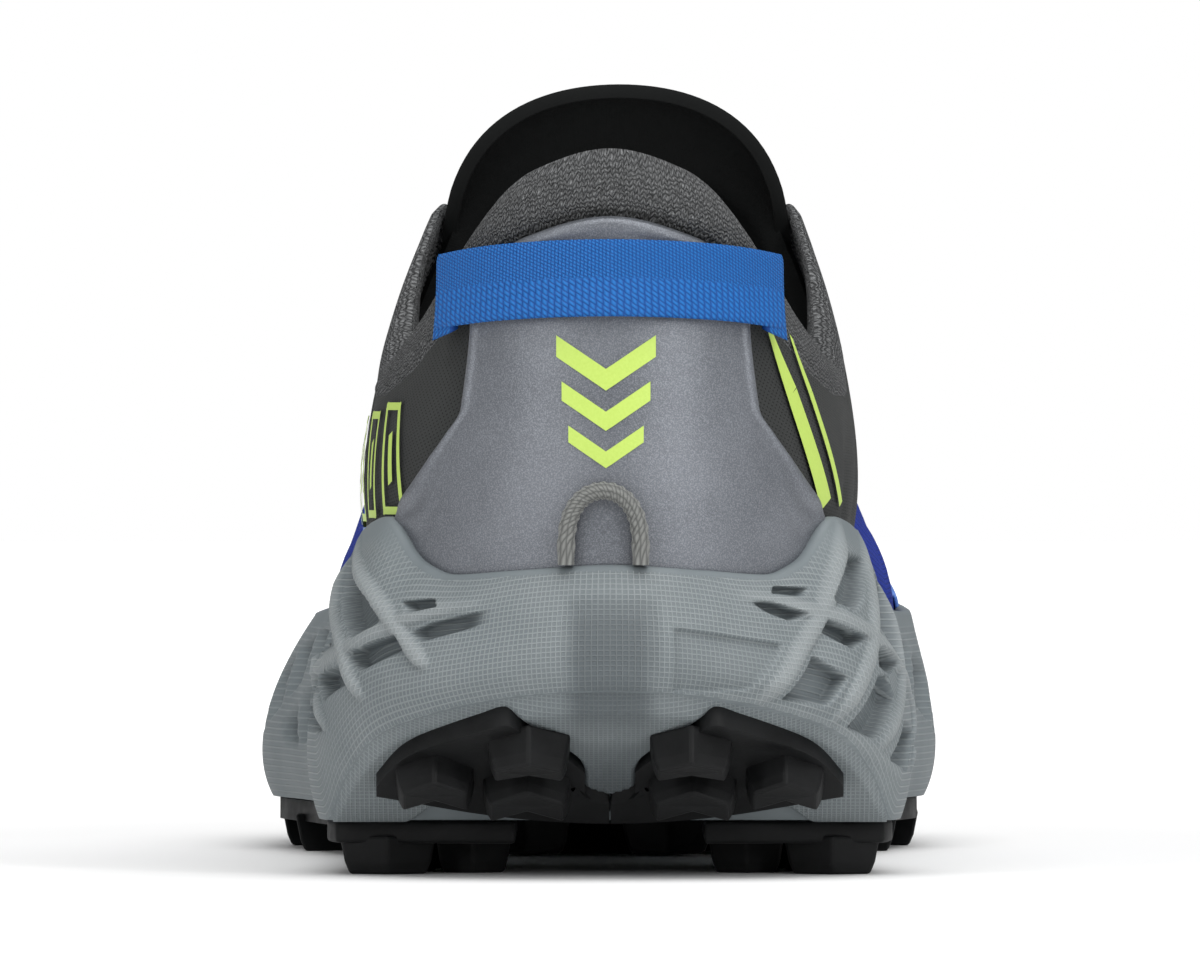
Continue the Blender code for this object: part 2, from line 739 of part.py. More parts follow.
def rubber_pad(name, across, along, outline, lugs, finish):
    """A pad of rubber laid against the underside, with chevron lugs joined to it."""
    bm = bmesh.new()
    sheet(bm, across, along, lambda i, j: on_underside(*outline(i / across, j / along)))
    weld(bm)
    face_away(bm, INSIDE + Vector((0, 0, -1)))
    pad = node(name, bm, finish)
    grow_inward(pad, RUBBER)

    bm = bmesh.new()
    for x, y, wide, deep, way in lugs:
        rings = []
        for below, scale in ((RUBBER - 0.0012, 1.0), (RUBBER + LUG_HEIGHT, 0.86)):
            ring = []
            for a, b in ((-0.5, -0.5), (0, -0.12), (0.5, -0.5), (0.5, 0.08), (0, 0.5), (-0.5, 0.08)):
                flat = on_underside(x, y)
                tilt = on_underside(x, y, below) - flat
                forward = Vector((0, tilt.z, -tilt.y)).normalized() * -1
                corner = flat + tilt + Vector((a * wide * scale, 0, 0)) + forward * (b * deep * scale * way)
                corner.z = max(corner.z, 0.0)
                ring.append(corner)
            rings.append(ring)
        tube(bm, rings)
    weld(bm)
    join(pad, node(name + "_lugs", bm, finish, smooth=False))
    return pad


FOREFOOT_START = 0.40
CHEVRON = 0.0145, 0.0105  # how wide and how deep a lug is


def forefoot_outline(a, b):
    t = FOREFOOT_START + (1 - FOREFOOT_START) * b
    left, right = sole_edge(-1, t, 0.0012), sole_edge(1, t, 0.0012)
    arc = 1 - (2 * a - 1) ** 2
    return left[0] + (right[0] - left[0]) * a, left[1] + (right[1] - left[1]) * a + 0.016 * arc * (1 - b) ** 3


def forefoot_lugs():
    lugs = []
    for row in range(9):
        y = (0.485 + 0.056 * row) * LENGTH
        t = next(k / 500 for k in range(200, 500) if sole_edge(1, k / 500, 0)[1] >= y or k == 499)
        left, right = sole_edge(-1, t, 0)[0], sole_edge(1, t, 0)[0]
        middle, half = (left + right) / 2, (right - left) / 2 - 0.0085
        count = 4 if row % 2 == 0 else 3
        if row >= 7:
            count = 3 if row == 7 else 2
            half -= 0.003 * (row - 6)
        for k in range(count):
            x = middle + (2 * k / (count - 1) - 1) * (half if row % 2 == 0 or row >= 7 else half * 0.68)
            lugs.append((x, y, *CHEVRON, 1))
    return lugs


def heel_pad(side, finish):
    """The pad along one side of the heel."""
    start, end, inner = 0.121 * LENGTH, 0.325 * LENGTH, 0.155 * HEEL_WIDTH

    def outline(a, b):
        t = 0.150 + (0.300 - 0.150) * b
        edge = sole_edge(side, t, 0.0012)
        x = side * inner + (edge[0] - side * inner) * a
        y = start + (end - start) * b
        return x, y + 0.006 * a * (1 - b) - 0.004 * a * b

    lugs = []
    for k in range(4):
        y = start + 0.0085 + 0.0158 * k
        lugs.append((side * (0.365 - 0.012 * k) * HEEL_WIDTH, y, 0.0145, 0.0105, -1))
        if k < 3:
            lugs.append((side * 0.225 * HEEL_WIDTH, y + 0.0079, 0.0115, 0.0095, -1))
    name = "outsole_heel_lateral" if side < 0 else "outsole_heel_medial"
    return rubber_pad(name, 2, 8, outline, lugs, finish)


# The back edge of a rear leaf, as a share of LENGTH, from its inner to its outer end
LOBE = Table(
    "back",
    [
        (0.000, 0.0735),
        (0.125, 0.0560),
        (0.250, 0.0370),
        (0.375, 0.0195),
        (0.500, 0.0262),
        (0.625, 0.0350),
        (0.750, 0.0465),
        (0.875, 0.0620),
        (1.000, 0.0832),
    ],
)


def rear_lobe(side, finish):
    """The leaf of rubber on one side of the heel's bevel."""
    inner, outer = 0.028 * HEEL_WIDTH, 0.381 * HEEL_WIDTH

    def outline(a, b):
        back, front = LENGTH * LOBE.at("back", a), LENGTH * (0.106 - 0.016 * a * a)
        return side * (inner + (outer - inner) * a), back + (front - back) * b

    lugs = [
        (side * 0.132 * HEEL_WIDTH, 0.040 * LENGTH, 0.0125, 0.0100, -1),
        (side * 0.135 * HEEL_WIDTH, 0.080 * LENGTH, 0.0135, 0.0095, -1),
        (side * 0.285 * HEEL_WIDTH, 0.072 * LENGTH, 0.0120, 0.0095, -1),
    ]
    name = "outsole_rear_lateral" if side < 0 else "outsole_rear_medial"
    return rubber_pad(name, 8, 4, outline, lugs, finish)


def make_keel(midsole, finish):
    """A rounded tongue of foam that runs down the middle of the heel's bevel between the rubber leaves."""
    half = 0.020 * HEEL_WIDTH
    rings = []
    for share, wide in ((0.013, 1.0), (0.040, 1.0), (0.068, 1.0), (0.082, 0.85), (0.089, 0.5)):
        y = share * LENGTH
        top, bottom = on_underside(0, y, -0.0015), on_underside(0, y, RUBBER * 0.9)
        across = Vector((half * wide, 0, 0))
        rings.append([top - across, bottom - across * 0.8, bottom + across * 0.8, top + across])
    bm = bmesh.new()
    tube(bm, rings)
    weld(bm)
    join(midsole, node("keel", bm, finish, smooth=False))


# Overlays on the upper, all cut from the upper's own surface


def down_from_edge(side, t, distance):
    """The place v on the wall that lies a distance down from its top edge or from the ridge."""
    steps, walked, v = 60, 0.0, 1.0
    last = upper_section(side, t, v)
    while walked < distance and v > 0.1:
        v -= 1 / steps
        here = upper_section(side, t, v)
        walked += math.hypot((here[0] - last[0]) * local_width(t), here[1] - last[1])
        last = here
    return v


def overlay(name, stations, rises, gap, limit, finish):
    """A sheet held a gap off the upper. It takes the upper's own stations and rows, so that the two lie
    alike, and limit(side, t, v) draws each of them back to the overlay's outline."""

    def outside(i, j):
        side, t, v = limit(*stations[i], rises[j])
        return upper_point(side, t, v) + upper_normal(side, t, v) * (gap + OVERLAY_WALL)

    bm = bmesh.new()
    sheet(bm, len(stations) - 1, len(rises) - 1, outside)
    weld(bm)
    bmesh.ops.dissolve_degenerate(bm, edges=bm.edges, dist=0.00005)
    face_away(bm, INSIDE)
    made = node(name, bm, finish)
    grow_inward(made, OVERLAY_WALL)
    return made


def above_rim(side, t):
    return upper_at_height(side, t, rim_height(t) + 0.0018)


# How far round the heel the film reaches at each height above the footbed, as a share of COLLAR_HEIGHT
COUNTER = Table(
    "reach",
    [
        (0.24, 0.1520),
        (0.27, 0.1460),
        (0.31, 0.1240),
        (0.36, 0.1040),
        (0.41, 0.0910),
        (0.46, 0.0815),
        (0.62, 0.0795),
        (0.76, 0.0870),
        (1.00, 0.1000),
    ],
)
COUNTER_GAP = 0.0007
COUNTER_RISES = (0.0, 0.13, 0.20, 0.27, 0.34, 0.41, 0.475, 0.54, 0.65, 0.75, 0.84, 0.92, 1.0)
COUNTER_TOP = 0.010  # how far it stops below the collar's edge


def make_heel_counter(finish):
    """A film over the back of the heel, wide at the midsole and waisted above it."""

    def limit(side, key, v):
        t = min(key, 0.1)
        for _ in range(8):
            held = min(max(v, above_rim(side, t)), down_from_edge(side, t, COUNTER_TOP))
            x, y, z = upper_point(side, t, held)
            t = min(key, COUNTER.at("reach", (z - bed_height(y)) / COLLAR_HEIGHT))
        return side, t, held

    stations = around([key for key in UPPER_KEYS if key < 0.165])
    return overlay("heel_counter", stations, COUNTER_RISES, COUNTER_GAP, limit, finish)


TOE_CAP_START = 0.70


def make_toe_cap(finish):
    """A band round the toe that climbs toward its tip."""

    def limit(side, t, v):
        t = max(t, TOE_CAP_START)
        low = above_rim(side, t)
        grown = 1 - ((1 - t) / (1 - TOE_CAP_START)) ** 2.2
        return side, t, min(max(v, low), low + 0.05 + (0.60 - low) * grown)

    keys = [key for key in UPPER_KEYS if key > TOE_CAP_START - 0.03]
    stations = [(-1, key) for key in keys] + [(1, key) for key in reversed(keys)][1:]
    return overlay("toe_cap", stations, UPPER_RISES, OVERLAY_GAP, limit, finish)


EYESTAY_TOP, EYESTAY_END = 0.318, 0.606
EYESTAY_LOW = Table("rise", [(0.318, 0.75), (0.56, 0.75), (0.58, 0.775), (0.598, 0.85), (0.606, 0.92)])


def make_eyestay(finish):
    """The band that carries the eyelets, round the throat from one side to the other."""
    inner_keys = [key for key in UPPER_KEYS if EYESTAY_TOP + 0.005 < key < EYESTAY_END]
    keys = [EYESTAY_TOP, *inner_keys, EYESTAY_END]
    last = len(keys) - 1
    bm = bmesh.new()
    for side in SIDES:

        def outside(i, j, side=side):
            t = keys[i if side > 0 else last - i]
            v = max(UPPER_RISES[j + 6], EYESTAY_LOW.at("rise", t))
            if t < 0.57:
                v = min(v, down_from_edge(side, t, 0.0010))
            return upper_point(side, t, v) + upper_normal(side, t, v) * (OVERLAY_GAP + OVERLAY_WALL)

        sheet(bm, last, 3, outside)
    weld(bm)
    bmesh.ops.dissolve_degenerate(bm, edges=bm.edges, dist=0.00005)
    face_away(bm, INSIDE)
    made = node("eyestay", bm, finish)
    grow_inward(made, OVERLAY_WALL)
    return made


def make_pull_tab(finish):
    """A strap of webbing across the top of the heel, its ends folded under and sewn down."""
    ends, count = 0.098, 14
    centre_z, rise = 0.0900, 0.0032

    rings = []
    for k in range(count + 1):
        turn = 2 * k / count - 1
        side, t = (-1 if turn < 0 else 1), abs(turn) * ends
        folded = ease(abs(turn), 0.80, 0.90)
        middle = centre_z + rise * (1 - turn * turn)
        inner = COUNTER_GAP + OVERLAY_WALL + OVERLAY_GAP + 0.0006 * (1 - folded)
        outer = inner + WEBBING_WALL * (1 + 0.6 * folded)
        ring = []
        for up, off in ((-0.5, inner), (0.5, inner), (0.5, outer), (-0.5, outer)):
            v = upper_at_height(side, t, middle + up * WEBBING_WIDTH)
            ring.append(upper_point(side, t, v) + upper_normal(side, t, v) * off)
        rings.append(ring)
    bm = bmesh.new()
    tube(bm, rings)
    weld(bm)
    return node("pull_tab", bm, finish)


def make_cord_loop(finish):
    """A loop of cord that stands in front of the film at the foot of the heel."""
    radius, sides, count = CORD_DIAMETER / 2, 8, 10
    half, height = 0.0056, 0.0108
    off = COUNTER_GAP + OVERLAY_WALL + OVERLAY_GAP + radius
    foot = rim_height(0.0) + 0.0006

    def centre(s):
        x = -half * math.cos(math.pi * s) - 0.001
        z = foot + height * math.sin(math.pi * s) ** 0.6
        side, t = (-1 if x < 0 else 1), abs(x) / SIDE_LENGTH * 1.12
        v = upper_at_height(side, t, z)
        return upper_point(side, t, v) + upper_normal(side, t, v) * off

    rings = []
    for k in range(count + 1):
        s = k / count
        ahead = centre(min(s + 0.01, 1.0)) - centre(max(s - 0.01, 0.0))
        along = ahead.normalized() if 0 < k < count else Vector((0, 0, 1 if k == 0 else -1))
        out = Vector((0, -1, 0))
        wide = along.cross(out).normalized()
        out = wide.cross(along)
        middle = centre(s)
        ring = []
        for q in range(sides):
            angle = 2 * math.pi * q / sides
            ring.append(middle + wide * (radius * math.cos(angle)) + out * (radius * math.sin(angle)))
        rings.append(ring)
    bm = bmesh.new()
    tube(bm, rings)
    weld(bm)
    return node("cord_loop", bm, finish)


EYELETS = (0.548, 0.508, 0.466, 0.424, 0.382, 0.342)  # keys of the eyelet pairs, from the toe end upward
EYELET_IN = 0.0075  # from the throat's edge
LACE_OFF = 2 * OVERLAY_GAP + OVERLAY_WALL + LACE_WALL / 2 + 0.0007


def lace_bar(bm, side, start, end, off, inset):
    """A flat bar from the eyelet at key start on one side to the eyelet at key end on the other."""
    count = 5

    def centre(s, ahead=0.0):
        t = start + (end - start) * s + ahead
        reach = 1 + (1 - down_from_edge(side, t, inset))
        return across_throat(t, side * reach * (1 - 2 * s), off, 0.33)

    rings = []
    for k in range(count + 1):
        s = k / count
        point = centre(s)
        along = (centre(min(s + 0.03, 1.0)) - centre(max(s - 0.03, 0.0))).normalized()
        forward = centre(s, 0.01) - centre(s, -0.01)
        up = along.cross(forward).normalized()
        if up.z < 0:
            up = -up
        wide = along.cross(up)
        ring = []
        for a, b in ((-0.5, -0.5), (0.5, -0.5), (0.5, 0.5), (-0.5, 0.5)):
            ring.append(point + wide * (a * LACE_WIDTH) + up * (b * LACE_WALL))
        rings.append(ring)
    tube(bm, rings)


def make_laces(finish):
    """The crossing bars of the lace, joined where they cross and where they turn at the eyelets."""
    one, other = bmesh.new(), bmesh.new()
    for start, end in zip(EYELETS, EYELETS[1:]):
        lace_bar(one, -1, start, end, LACE_OFF, EYELET_IN)
        lace_bar(other, 1, start + 0.0006, end + 0.0006, LACE_OFF + 0.0004, EYELET_IN - 0.0003)
    lace_bar(one, -1, EYELETS[0] + 0.0045, EYELETS[0] + 0.0045, LACE_OFF + 0.0002, EYELET_IN - 0.0004)
    weld(one)
    weld(other)
    laces = node("laces", one, finish)
    merge = join(laces, node("laces_other_way", other, finish))
    merge.use_self = True
    return laces


def clear_scene():
    for made in list(bpy.data.objects):
        bpy.data.objects.remove(made)


def place_on_floor():
    """Carries the shoe so that the origin lies on the floor under the middle of its outline."""
    bpy.context.view_layer.update()
    graph = bpy.context.evaluated_depsgraph_get()
    kept = [made for made in bpy.context.scene.objects if not made.hide_render]
    corners = [Vector(c) for made in kept for c in made.evaluated_get(graph).bound_box]
    middle_x = (min(c.x for c in corners) + max(c.x for c in corners)) / 2
    middle_y = (min(c.y for c in corners) + max(c.y for c in corners)) / 2
    for made in bpy.context.scene.objects:
        made.location = (-middle_x, -middle_y, 0)


def build_shoe():
    clear_scene()
    foam = material("midsole_foam", (0.33, 0.38, 0.42), 0.6)
    rubber = material("outsole_rubber", (0.02, 0.02, 0.022), 0.75)
    cloth = material("quarter_mesh", (0.09, 0.10, 0.10), 0.8)
    liner = material("sock_liner", (0.05, 0.05, 0.055), 0.9)
    tongue_cloth = material("tongue_cloth", (0.02, 0.02, 0.02), 0.85)
    film = material("heel_film", (0.30, 0.32, 0.34), 0.45)
    blue_film = material("toe_film", (0.11, 0.22, 0.60), 0.5)
    webbing = material("webbing", (0.05, 0.20, 0.72), 0.7)
    cord = material("cord", (0.22, 0.22, 0.22), 0.8)
    lace_cloth = material("lace_cloth", (0.05, 0.12, 0.50), 0.8)

    midsole = make_midsole(foam)
    make_keel(midsole, foam)
    make_upper(cloth)
    make_insole(liner)
    make_tongue(tongue_cloth)
    rubber_pad("outsole_forefoot", 4, 20, forefoot_outline, forefoot_lugs(), rubber)
    for side in SIDES:
        heel_pad(side, rubber)
        rear_lobe(side, rubber)
    make_heel_counter(film)
    make_toe_cap(blue_film)
    make_eyestay(blue_film)
    make_pull_tab(webbing)
    make_cord_loop(cord)
    make_laces(lace_cloth)
    place_on_floor()


build_shoe()
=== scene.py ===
# %% [markdown]
# # A trail running shoe, dressed
# The frame is the plain solid model of one left shoe. This lesson gives every piece its real surface: foam
# with moulded ribs, rubber lugs, knit, mesh, film, webbing, braid and lace. Each cell makes one thing and
# prints it.

# %% Load the frame
import bisect
import functools
import math

import bmesh
import bpy
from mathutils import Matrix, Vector


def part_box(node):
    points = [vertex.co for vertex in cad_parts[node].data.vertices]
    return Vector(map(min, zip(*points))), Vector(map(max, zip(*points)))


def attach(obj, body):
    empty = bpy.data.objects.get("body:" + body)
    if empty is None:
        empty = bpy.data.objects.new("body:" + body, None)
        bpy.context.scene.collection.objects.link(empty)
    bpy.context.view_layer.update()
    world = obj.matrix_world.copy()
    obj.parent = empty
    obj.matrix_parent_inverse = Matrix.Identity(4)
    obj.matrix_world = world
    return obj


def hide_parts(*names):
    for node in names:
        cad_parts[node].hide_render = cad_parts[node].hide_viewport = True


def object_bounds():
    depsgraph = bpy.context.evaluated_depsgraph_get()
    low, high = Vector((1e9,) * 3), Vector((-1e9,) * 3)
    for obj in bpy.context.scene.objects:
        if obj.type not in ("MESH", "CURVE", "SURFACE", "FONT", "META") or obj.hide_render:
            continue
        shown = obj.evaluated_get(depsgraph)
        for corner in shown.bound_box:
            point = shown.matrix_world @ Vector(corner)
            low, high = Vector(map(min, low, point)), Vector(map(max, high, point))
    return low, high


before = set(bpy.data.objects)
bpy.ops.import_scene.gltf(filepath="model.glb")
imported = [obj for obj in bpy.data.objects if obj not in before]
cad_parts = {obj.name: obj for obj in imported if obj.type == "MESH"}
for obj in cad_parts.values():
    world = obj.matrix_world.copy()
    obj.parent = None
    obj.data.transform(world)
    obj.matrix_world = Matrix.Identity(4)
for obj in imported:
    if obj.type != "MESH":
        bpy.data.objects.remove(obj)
bpy.context.view_layer.update()
cad_box = [list(corner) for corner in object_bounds()]
print("CAD box:", cad_box)

# %% [markdown]
# The photograph looks straight at the heel from behind, a little above the ground, through a long lens. So
# the camera stands far back and low. A long lens keeps the forefoot, which is 20 cm further away, nearly as
# large as the heel.

# %% Camera
HEEL_TO_CAMERA = 2.5
CAMERA_HEIGHT = 0.075
AIM_HEIGHT = 0.062
FRAME_WIDTH_AT_HEEL = 0.188
heel_y = cad_box[0][1]

camera_data = bpy.data.cameras.new("camera")
camera_data.sensor_width = 36
camera_data.lens = 36 * HEEL_TO_CAMERA / FRAME_WIDTH_AT_HEEL
camera_data.clip_end = 20
camera = bpy.data.objects.new("camera", camera_data)
camera.location = (0, heel_y - HEEL_TO_CAMERA, CAMERA_HEIGHT)
aim = Vector((0, heel_y, AIM_HEIGHT)) - camera.location
camera.rotation_euler = aim.to_track_quat("-Z", "Y").to_euler()
bpy.context.scene.collection.objects.link(camera)
bpy.context.scene.camera = camera
bpy.context.scene.view_settings.view_transform = "Standard"
print("lens", round(camera_data.lens), "mm")

# %% [markdown]
# The real pieces are cut and moulded on one last, so one set of curves has to serve them all. These are the
# curves that the solid model was made from: short tables of shares along the shoe, read by a smooth cubic.
# The key t runs from the back of the heel (0) round either side to the tip of the toe (1).

# %% Sizes of the shoe
LENGTH = 0.298
HEEL_WIDTH = 0.097
BALL_WIDTH = 0.113
HEEL_STACK = 0.038
FORE_STACK = 0.0295
HEEL_BEVEL = 0.022
TOE_SPRING = 0.0145
ARCH_RISE = 0.0015
COLLAR_HEIGHT = 0.076
INSTEP_HEIGHT = 0.0677
TOE_HEIGHT = 0.0285
GAP = 0.0003
SEAT_GAP = 0.0006
RUBBER = 0.0035
LUG_HEIGHT = 0.005
RIM_WALL = 0.0022
UPPER_WALL = 0.0022
COLLAR_PADDING = 0.0075
TONGUE_WALL = 0.0022
INSOLE_THICKNESS = 0.0042
OVERLAY_WALL = 0.0009
OVERLAY_GAP = 0.0005
COUNTER_GAP = 0.0007
WEBBING_WALL = 0.0014
WEBBING_WIDTH = 0.0125
CORD_DIAMETER = 0.0029
LACE_WIDTH = 0.0055
LACE_WALL = 0.0012
SIDES = (-1, 1)  # lateral, medial


class Table:
    """Named columns over a key, read between the rows by a monotone cubic."""

    def __init__(self, names, rows, level_ends=False):
        self.keys = [row[0] for row in rows]
        self.level_ends = level_ends
        self.columns = {
            name: self.with_slopes([row[k + 1] for row in rows]) for k, name in enumerate(names.split())
        }

    def with_slopes(self, values):
        keys = self.keys
        steps = [(b - a) / (l - k) for a, b, k, l in zip(values, values[1:], keys, keys[1:])]
        slopes = [steps[0]]
        for before, after in zip(steps, steps[1:]):
            slopes.append(0.0 if before * after <= 0 else 2 * before * after / (before + after))
        slopes.append(steps[-1])
        if self.level_ends:
            slopes[0] = slopes[-1] = 0.0
        return values, slopes

    def at(self, name, key):
        values, slopes = self.columns[name]
        key = min(max(key, self.keys[0]), self.keys[-1])
        k = min(max(bisect.bisect_right(self.keys, key) - 1, 0), len(values) - 2)
        span = self.keys[k + 1] - self.keys[k]
        s = (key - self.keys[k]) / span
        start = (2 * s**3 - 3 * s**2 + 1) * values[k] + (s**3 - 2 * s**2 + s) * span * slopes[k]
        end = (3 * s**2 - 2 * s**3) * values[k + 1] + (s**3 - s**2) * span * slopes[k + 1]
        return start + end


def ease(value, low, high):
    s = min(max((value - low) / (high - low), 0.0), 1.0)
    return s * s * (3 - 2 * s)


def keys_between(start, end, count):
    return [start + (end - start) * k / count for k in range(count + 1)]


# %% Tables of the last and the sole
SPINE = Table(
    "x y turn ball fan",
    [
        (0.00, 0.000, 0.148, 90, 0.00, 0.3255),
        (0.09, 0.000, 0.148, 45, 0.00, 0.3255),
        (0.18, 0.000, 0.168, 5, 0.00, 0.3255),
        (0.225, 0.000, 0.225, 0, 0.05, 0.3280),
        (0.27, 0.000, 0.285, 0, 0.15, 0.3340),
        (0.38, 0.004, 0.420, 0, 0.45, 0.3500),
        (0.50, 0.012, 0.554, 0, 0.85, 0.3720),
        (0.60, 0.020, 0.671, 0, 1.00, 0.3790),
        (0.70, 0.038, 0.779, -8, 1.00, 0.3790),
        (0.80, 0.062, 0.839, -30, 1.00, 0.3790),
        (0.90, 0.062, 0.839, -60, 1.00, 0.3790),
        (1.00, 0.062, 0.839, -90, 1.00, 0.3790),
    ],
)
SOLE = Table(
    "lateral medial inset",
    [
        (0.00, 0.454, 0.454, 0.018),
        (0.09, 0.484, 0.484, 0.020),
        (0.18, 0.498, 0.498, 0.018),
        (0.27, 0.470, 0.446, 0.020),
        (0.38, 0.452, 0.400, 0.030),
        (0.50, 0.490, 0.425, 0.022),
        (0.60, 0.535, 0.463, 0.012),
        (0.70, 0.530, 0.436, 0.014),
        (0.80, 0.478, 0.384, 0.030),
        (0.90, 0.432, 0.390, 0.040),
        (1.00, 0.425, 0.425, 0.050),
    ],
    level_ends=True,
)
RIM = Table(
    "rise",
    [
        (0.000, 0.305),
        (0.045, 0.280),
        (0.080, 0.262),
        (0.100, 0.310),
        (0.128, 0.500),
        (0.160, 0.440),
        (0.200, 0.324),
        (0.270, 0.235),
        (0.380, 0.225),
        (0.500, 0.245),
        (0.600, 0.275),
        (0.700, 0.270),
        (0.800, 0.270),
        (0.900, 0.310),
        (1.000, 0.340),
    ],
    level_ends=True,
)
BED = Table(
    "heel toe",
    [
        (0.00, 1.18, 0.00),
        (0.10, 1.035, 0.00),
        (0.20, 1.00, 0.00),
        (0.30, 0.88, 0.00),
        (0.42, 0.67, 0.00),
        (0.55, 0.27, 0.00),
        (0.67, 0.00, 0.00),
        (0.78, 0.00, 0.04),
        (0.84, 0.00, 0.14),
        (0.92, 0.00, 0.34),
        (1.00, 0.00, 0.60),
    ],
)
UNDERSIDE = Table(
    "bevel spring arch",
    [
        (0.00, 1.00, 0.00, 0.0),
        (0.03, 0.80, 0.00, 0.0),
        (0.06, 0.62, 0.00, 0.0),
        (0.09, 0.32, 0.00, 0.0),
        (0.12, 0.00, 0.00, 0.0),
        (0.33, 0.00, 0.00, 0.0),
        (0.43, 0.00, 0.00, 1.0),
        (0.52, 0.00, 0.00, 0.0),
        (0.69, 0.00, 0.00, 0.0),
        (0.75, 0.00, 0.07, 0.0),
        (0.82, 0.00, 0.24, 0.0),
        (0.90, 0.00, 0.52, 0.0),
        (1.00, 0.00, 1.00, 0.0),
    ],
)
UPPER = Table(
    "foot belly belly_up shoulder shoulder_up edge lean collar instep toe lateral medial",
    [
        (0.000, 0.361, 0.433, 0.32, 0.304, 0.70, 0.352, 0.000, 1.000, 0.00, 0.00, 1.00, 1.00),
        (0.045, 0.356, 0.428, 0.32, 0.306, 0.70, 0.348, 0.000, 0.958, 0.00, 0.00, 1.00, 1.00),
        (0.090, 0.346, 0.423, 0.33, 0.312, 0.70, 0.336, 0.000, 0.842, 0.00, 0.00, 1.00, 1.00),
        (0.112, 0.342, 0.424, 0.34, 0.322, 0.70, 0.326, 0.000, 0.770, 0.00, 0.00, 1.00, 1.00),
        (0.135, 0.340, 0.428, 0.35, 0.340, 0.70, 0.322, 0.000, 0.704, 0.00, 0.00, 1.00, 1.00),
        (0.180, 0.340, 0.433, 0.38, 0.380, 0.72, 0.342, 0.000, 0.622, 0.00, 0.00, 1.00, 1.00),
        (0.225, 0.337, 0.436, 0.40, 0.412, 0.72, 0.362, 0.002, 0.582, 0.00, 0.00, 1.00, 1.00),
        (0.250, 0.340, 0.438, 0.40, 0.410, 0.72, 0.352, 0.004, 0.450, 0.18, 0.00, 1.00, 1.00),
        (0.275, 0.342, 0.438, 0.40, 0.398, 0.72, 0.330, 0.006, 0.290, 0.44, 0.00, 1.00, 1.00),
        (0.300, 0.343, 0.432, 0.40, 0.374, 0.73, 0.300, 0.008, 0.130, 0.75, 0.00, 1.00, 1.00),
        (0.325, 0.344, 0.424, 0.40, 0.348, 0.76, 0.272, 0.010, 0.000, 1.00, 0.00, 1.01, 0.99),
        (0.380, 0.345, 0.420, 0.40, 0.322, 0.86, 0.211, 0.012, 0.000, 0.94, 0.00, 1.02, 0.97),
        (0.440, 0.352, 0.432, 0.42, 0.312, 0.93, 0.168, 0.010, 0.000, 0.84, 0.00, 1.03, 0.96),
        (0.500, 0.372, 0.455, 0.45, 0.296, 0.98, 0.127, 0.007, 0.000, 0.74, 0.00, 1.03, 0.96),
        (0.540, 0.384, 0.467, 0.49, 0.285, 1.00, 0.100, 0.005, 0.000, 0.68, 0.00, 1.03, 0.965),
        (0.560, 0.390, 0.474, 0.52, 0.279, 1.00, 0.078, 0.003, 0.000, 0.64, 0.02, 1.03, 0.965),
        (0.570, 0.393, 0.478, 0.53, 0.276, 1.00, 0.050, 0.001, 0.000, 0.60, 0.08, 1.03, 0.965),
        (0.575, 0.394, 0.480, 0.54, 0.274, 1.00, 0.000, 0.000, 0.000, 0.58, 0.12, 1.03, 0.965),
        (0.600, 0.400, 0.484, 0.57, 0.270, 1.00, 0.000, 0.000, 0.000, 0.46, 0.39, 1.03, 0.965),
        (0.700, 0.405, 0.468, 0.60, 0.262, 1.02, 0.000, 0.000, 0.000, 0.16, 0.75, 1.05, 0.95),
        (0.800, 0.362, 0.405, 0.62, 0.232, 1.02, 0.000, 0.000, 0.000, 0.00, 1.00, 1.07, 0.93),
        (0.900, 0.335, 0.365, 0.62, 0.210, 1.02, 0.000, 0.000, 0.000, 0.00, 1.00, 1.03, 0.97),
        (1.000, 0.322, 0.350, 0.62, 0.200, 1.02, 0.000, 0.000, 0.000, 0.00, 1.00, 1.00, 1.00),
    ],
    level_ends=True,
)
THROAT_END = 0.575
print("tables:", len(SPINE.keys), "sections of the spine,", len(UPPER.keys), "of the upper")

# %% [markdown]
# A section of the upper is one cubic curve from the foot of the wall to its edge. Everything that lies on
# the upper (film, strap, cord, print, eyelets) takes its place from the same point and normal, so it can't
# drift off the surface.

# %% The upper's surface


def local_width(t):
    return HEEL_WIDTH + (BALL_WIDTH - HEEL_WIDTH) * SPINE.at("ball", t)


def in_plan(side, t, reach):
    turn = math.radians(SPINE.at("turn", t))
    x = SPINE.at("x", t) * BALL_WIDTH + side * reach * local_width(t) * math.cos(turn)
    y = SPINE.at("y", t) * LENGTH - reach * SPINE.at("fan", t) * LENGTH * math.sin(turn)
    return x, y


def in_plan_off(side, t, reach, off):
    return in_plan(side, t, reach + off / local_width(t))


def bed_height(y):
    share = y / LENGTH
    return FORE_STACK + (HEEL_STACK - FORE_STACK) * BED.at("heel", share) + TOE_SPRING * BED.at("toe", share)


def underside_height(y):
    share = y / LENGTH
    bevel = HEEL_BEVEL * UNDERSIDE.at("bevel", share)
    spring = TOE_SPRING * UNDERSIDE.at("spring", share)
    arch = ARCH_RISE * UNDERSIDE.at("arch", share)
    return LUG_HEIGHT + RUBBER + GAP + bevel + spring + arch


def bezier(points, s):
    a, b, c, d = points
    return a * (1 - s) ** 3 + b * (3 * s * (1 - s) ** 2) + c * (3 * s * s * (1 - s)) + d * s**3


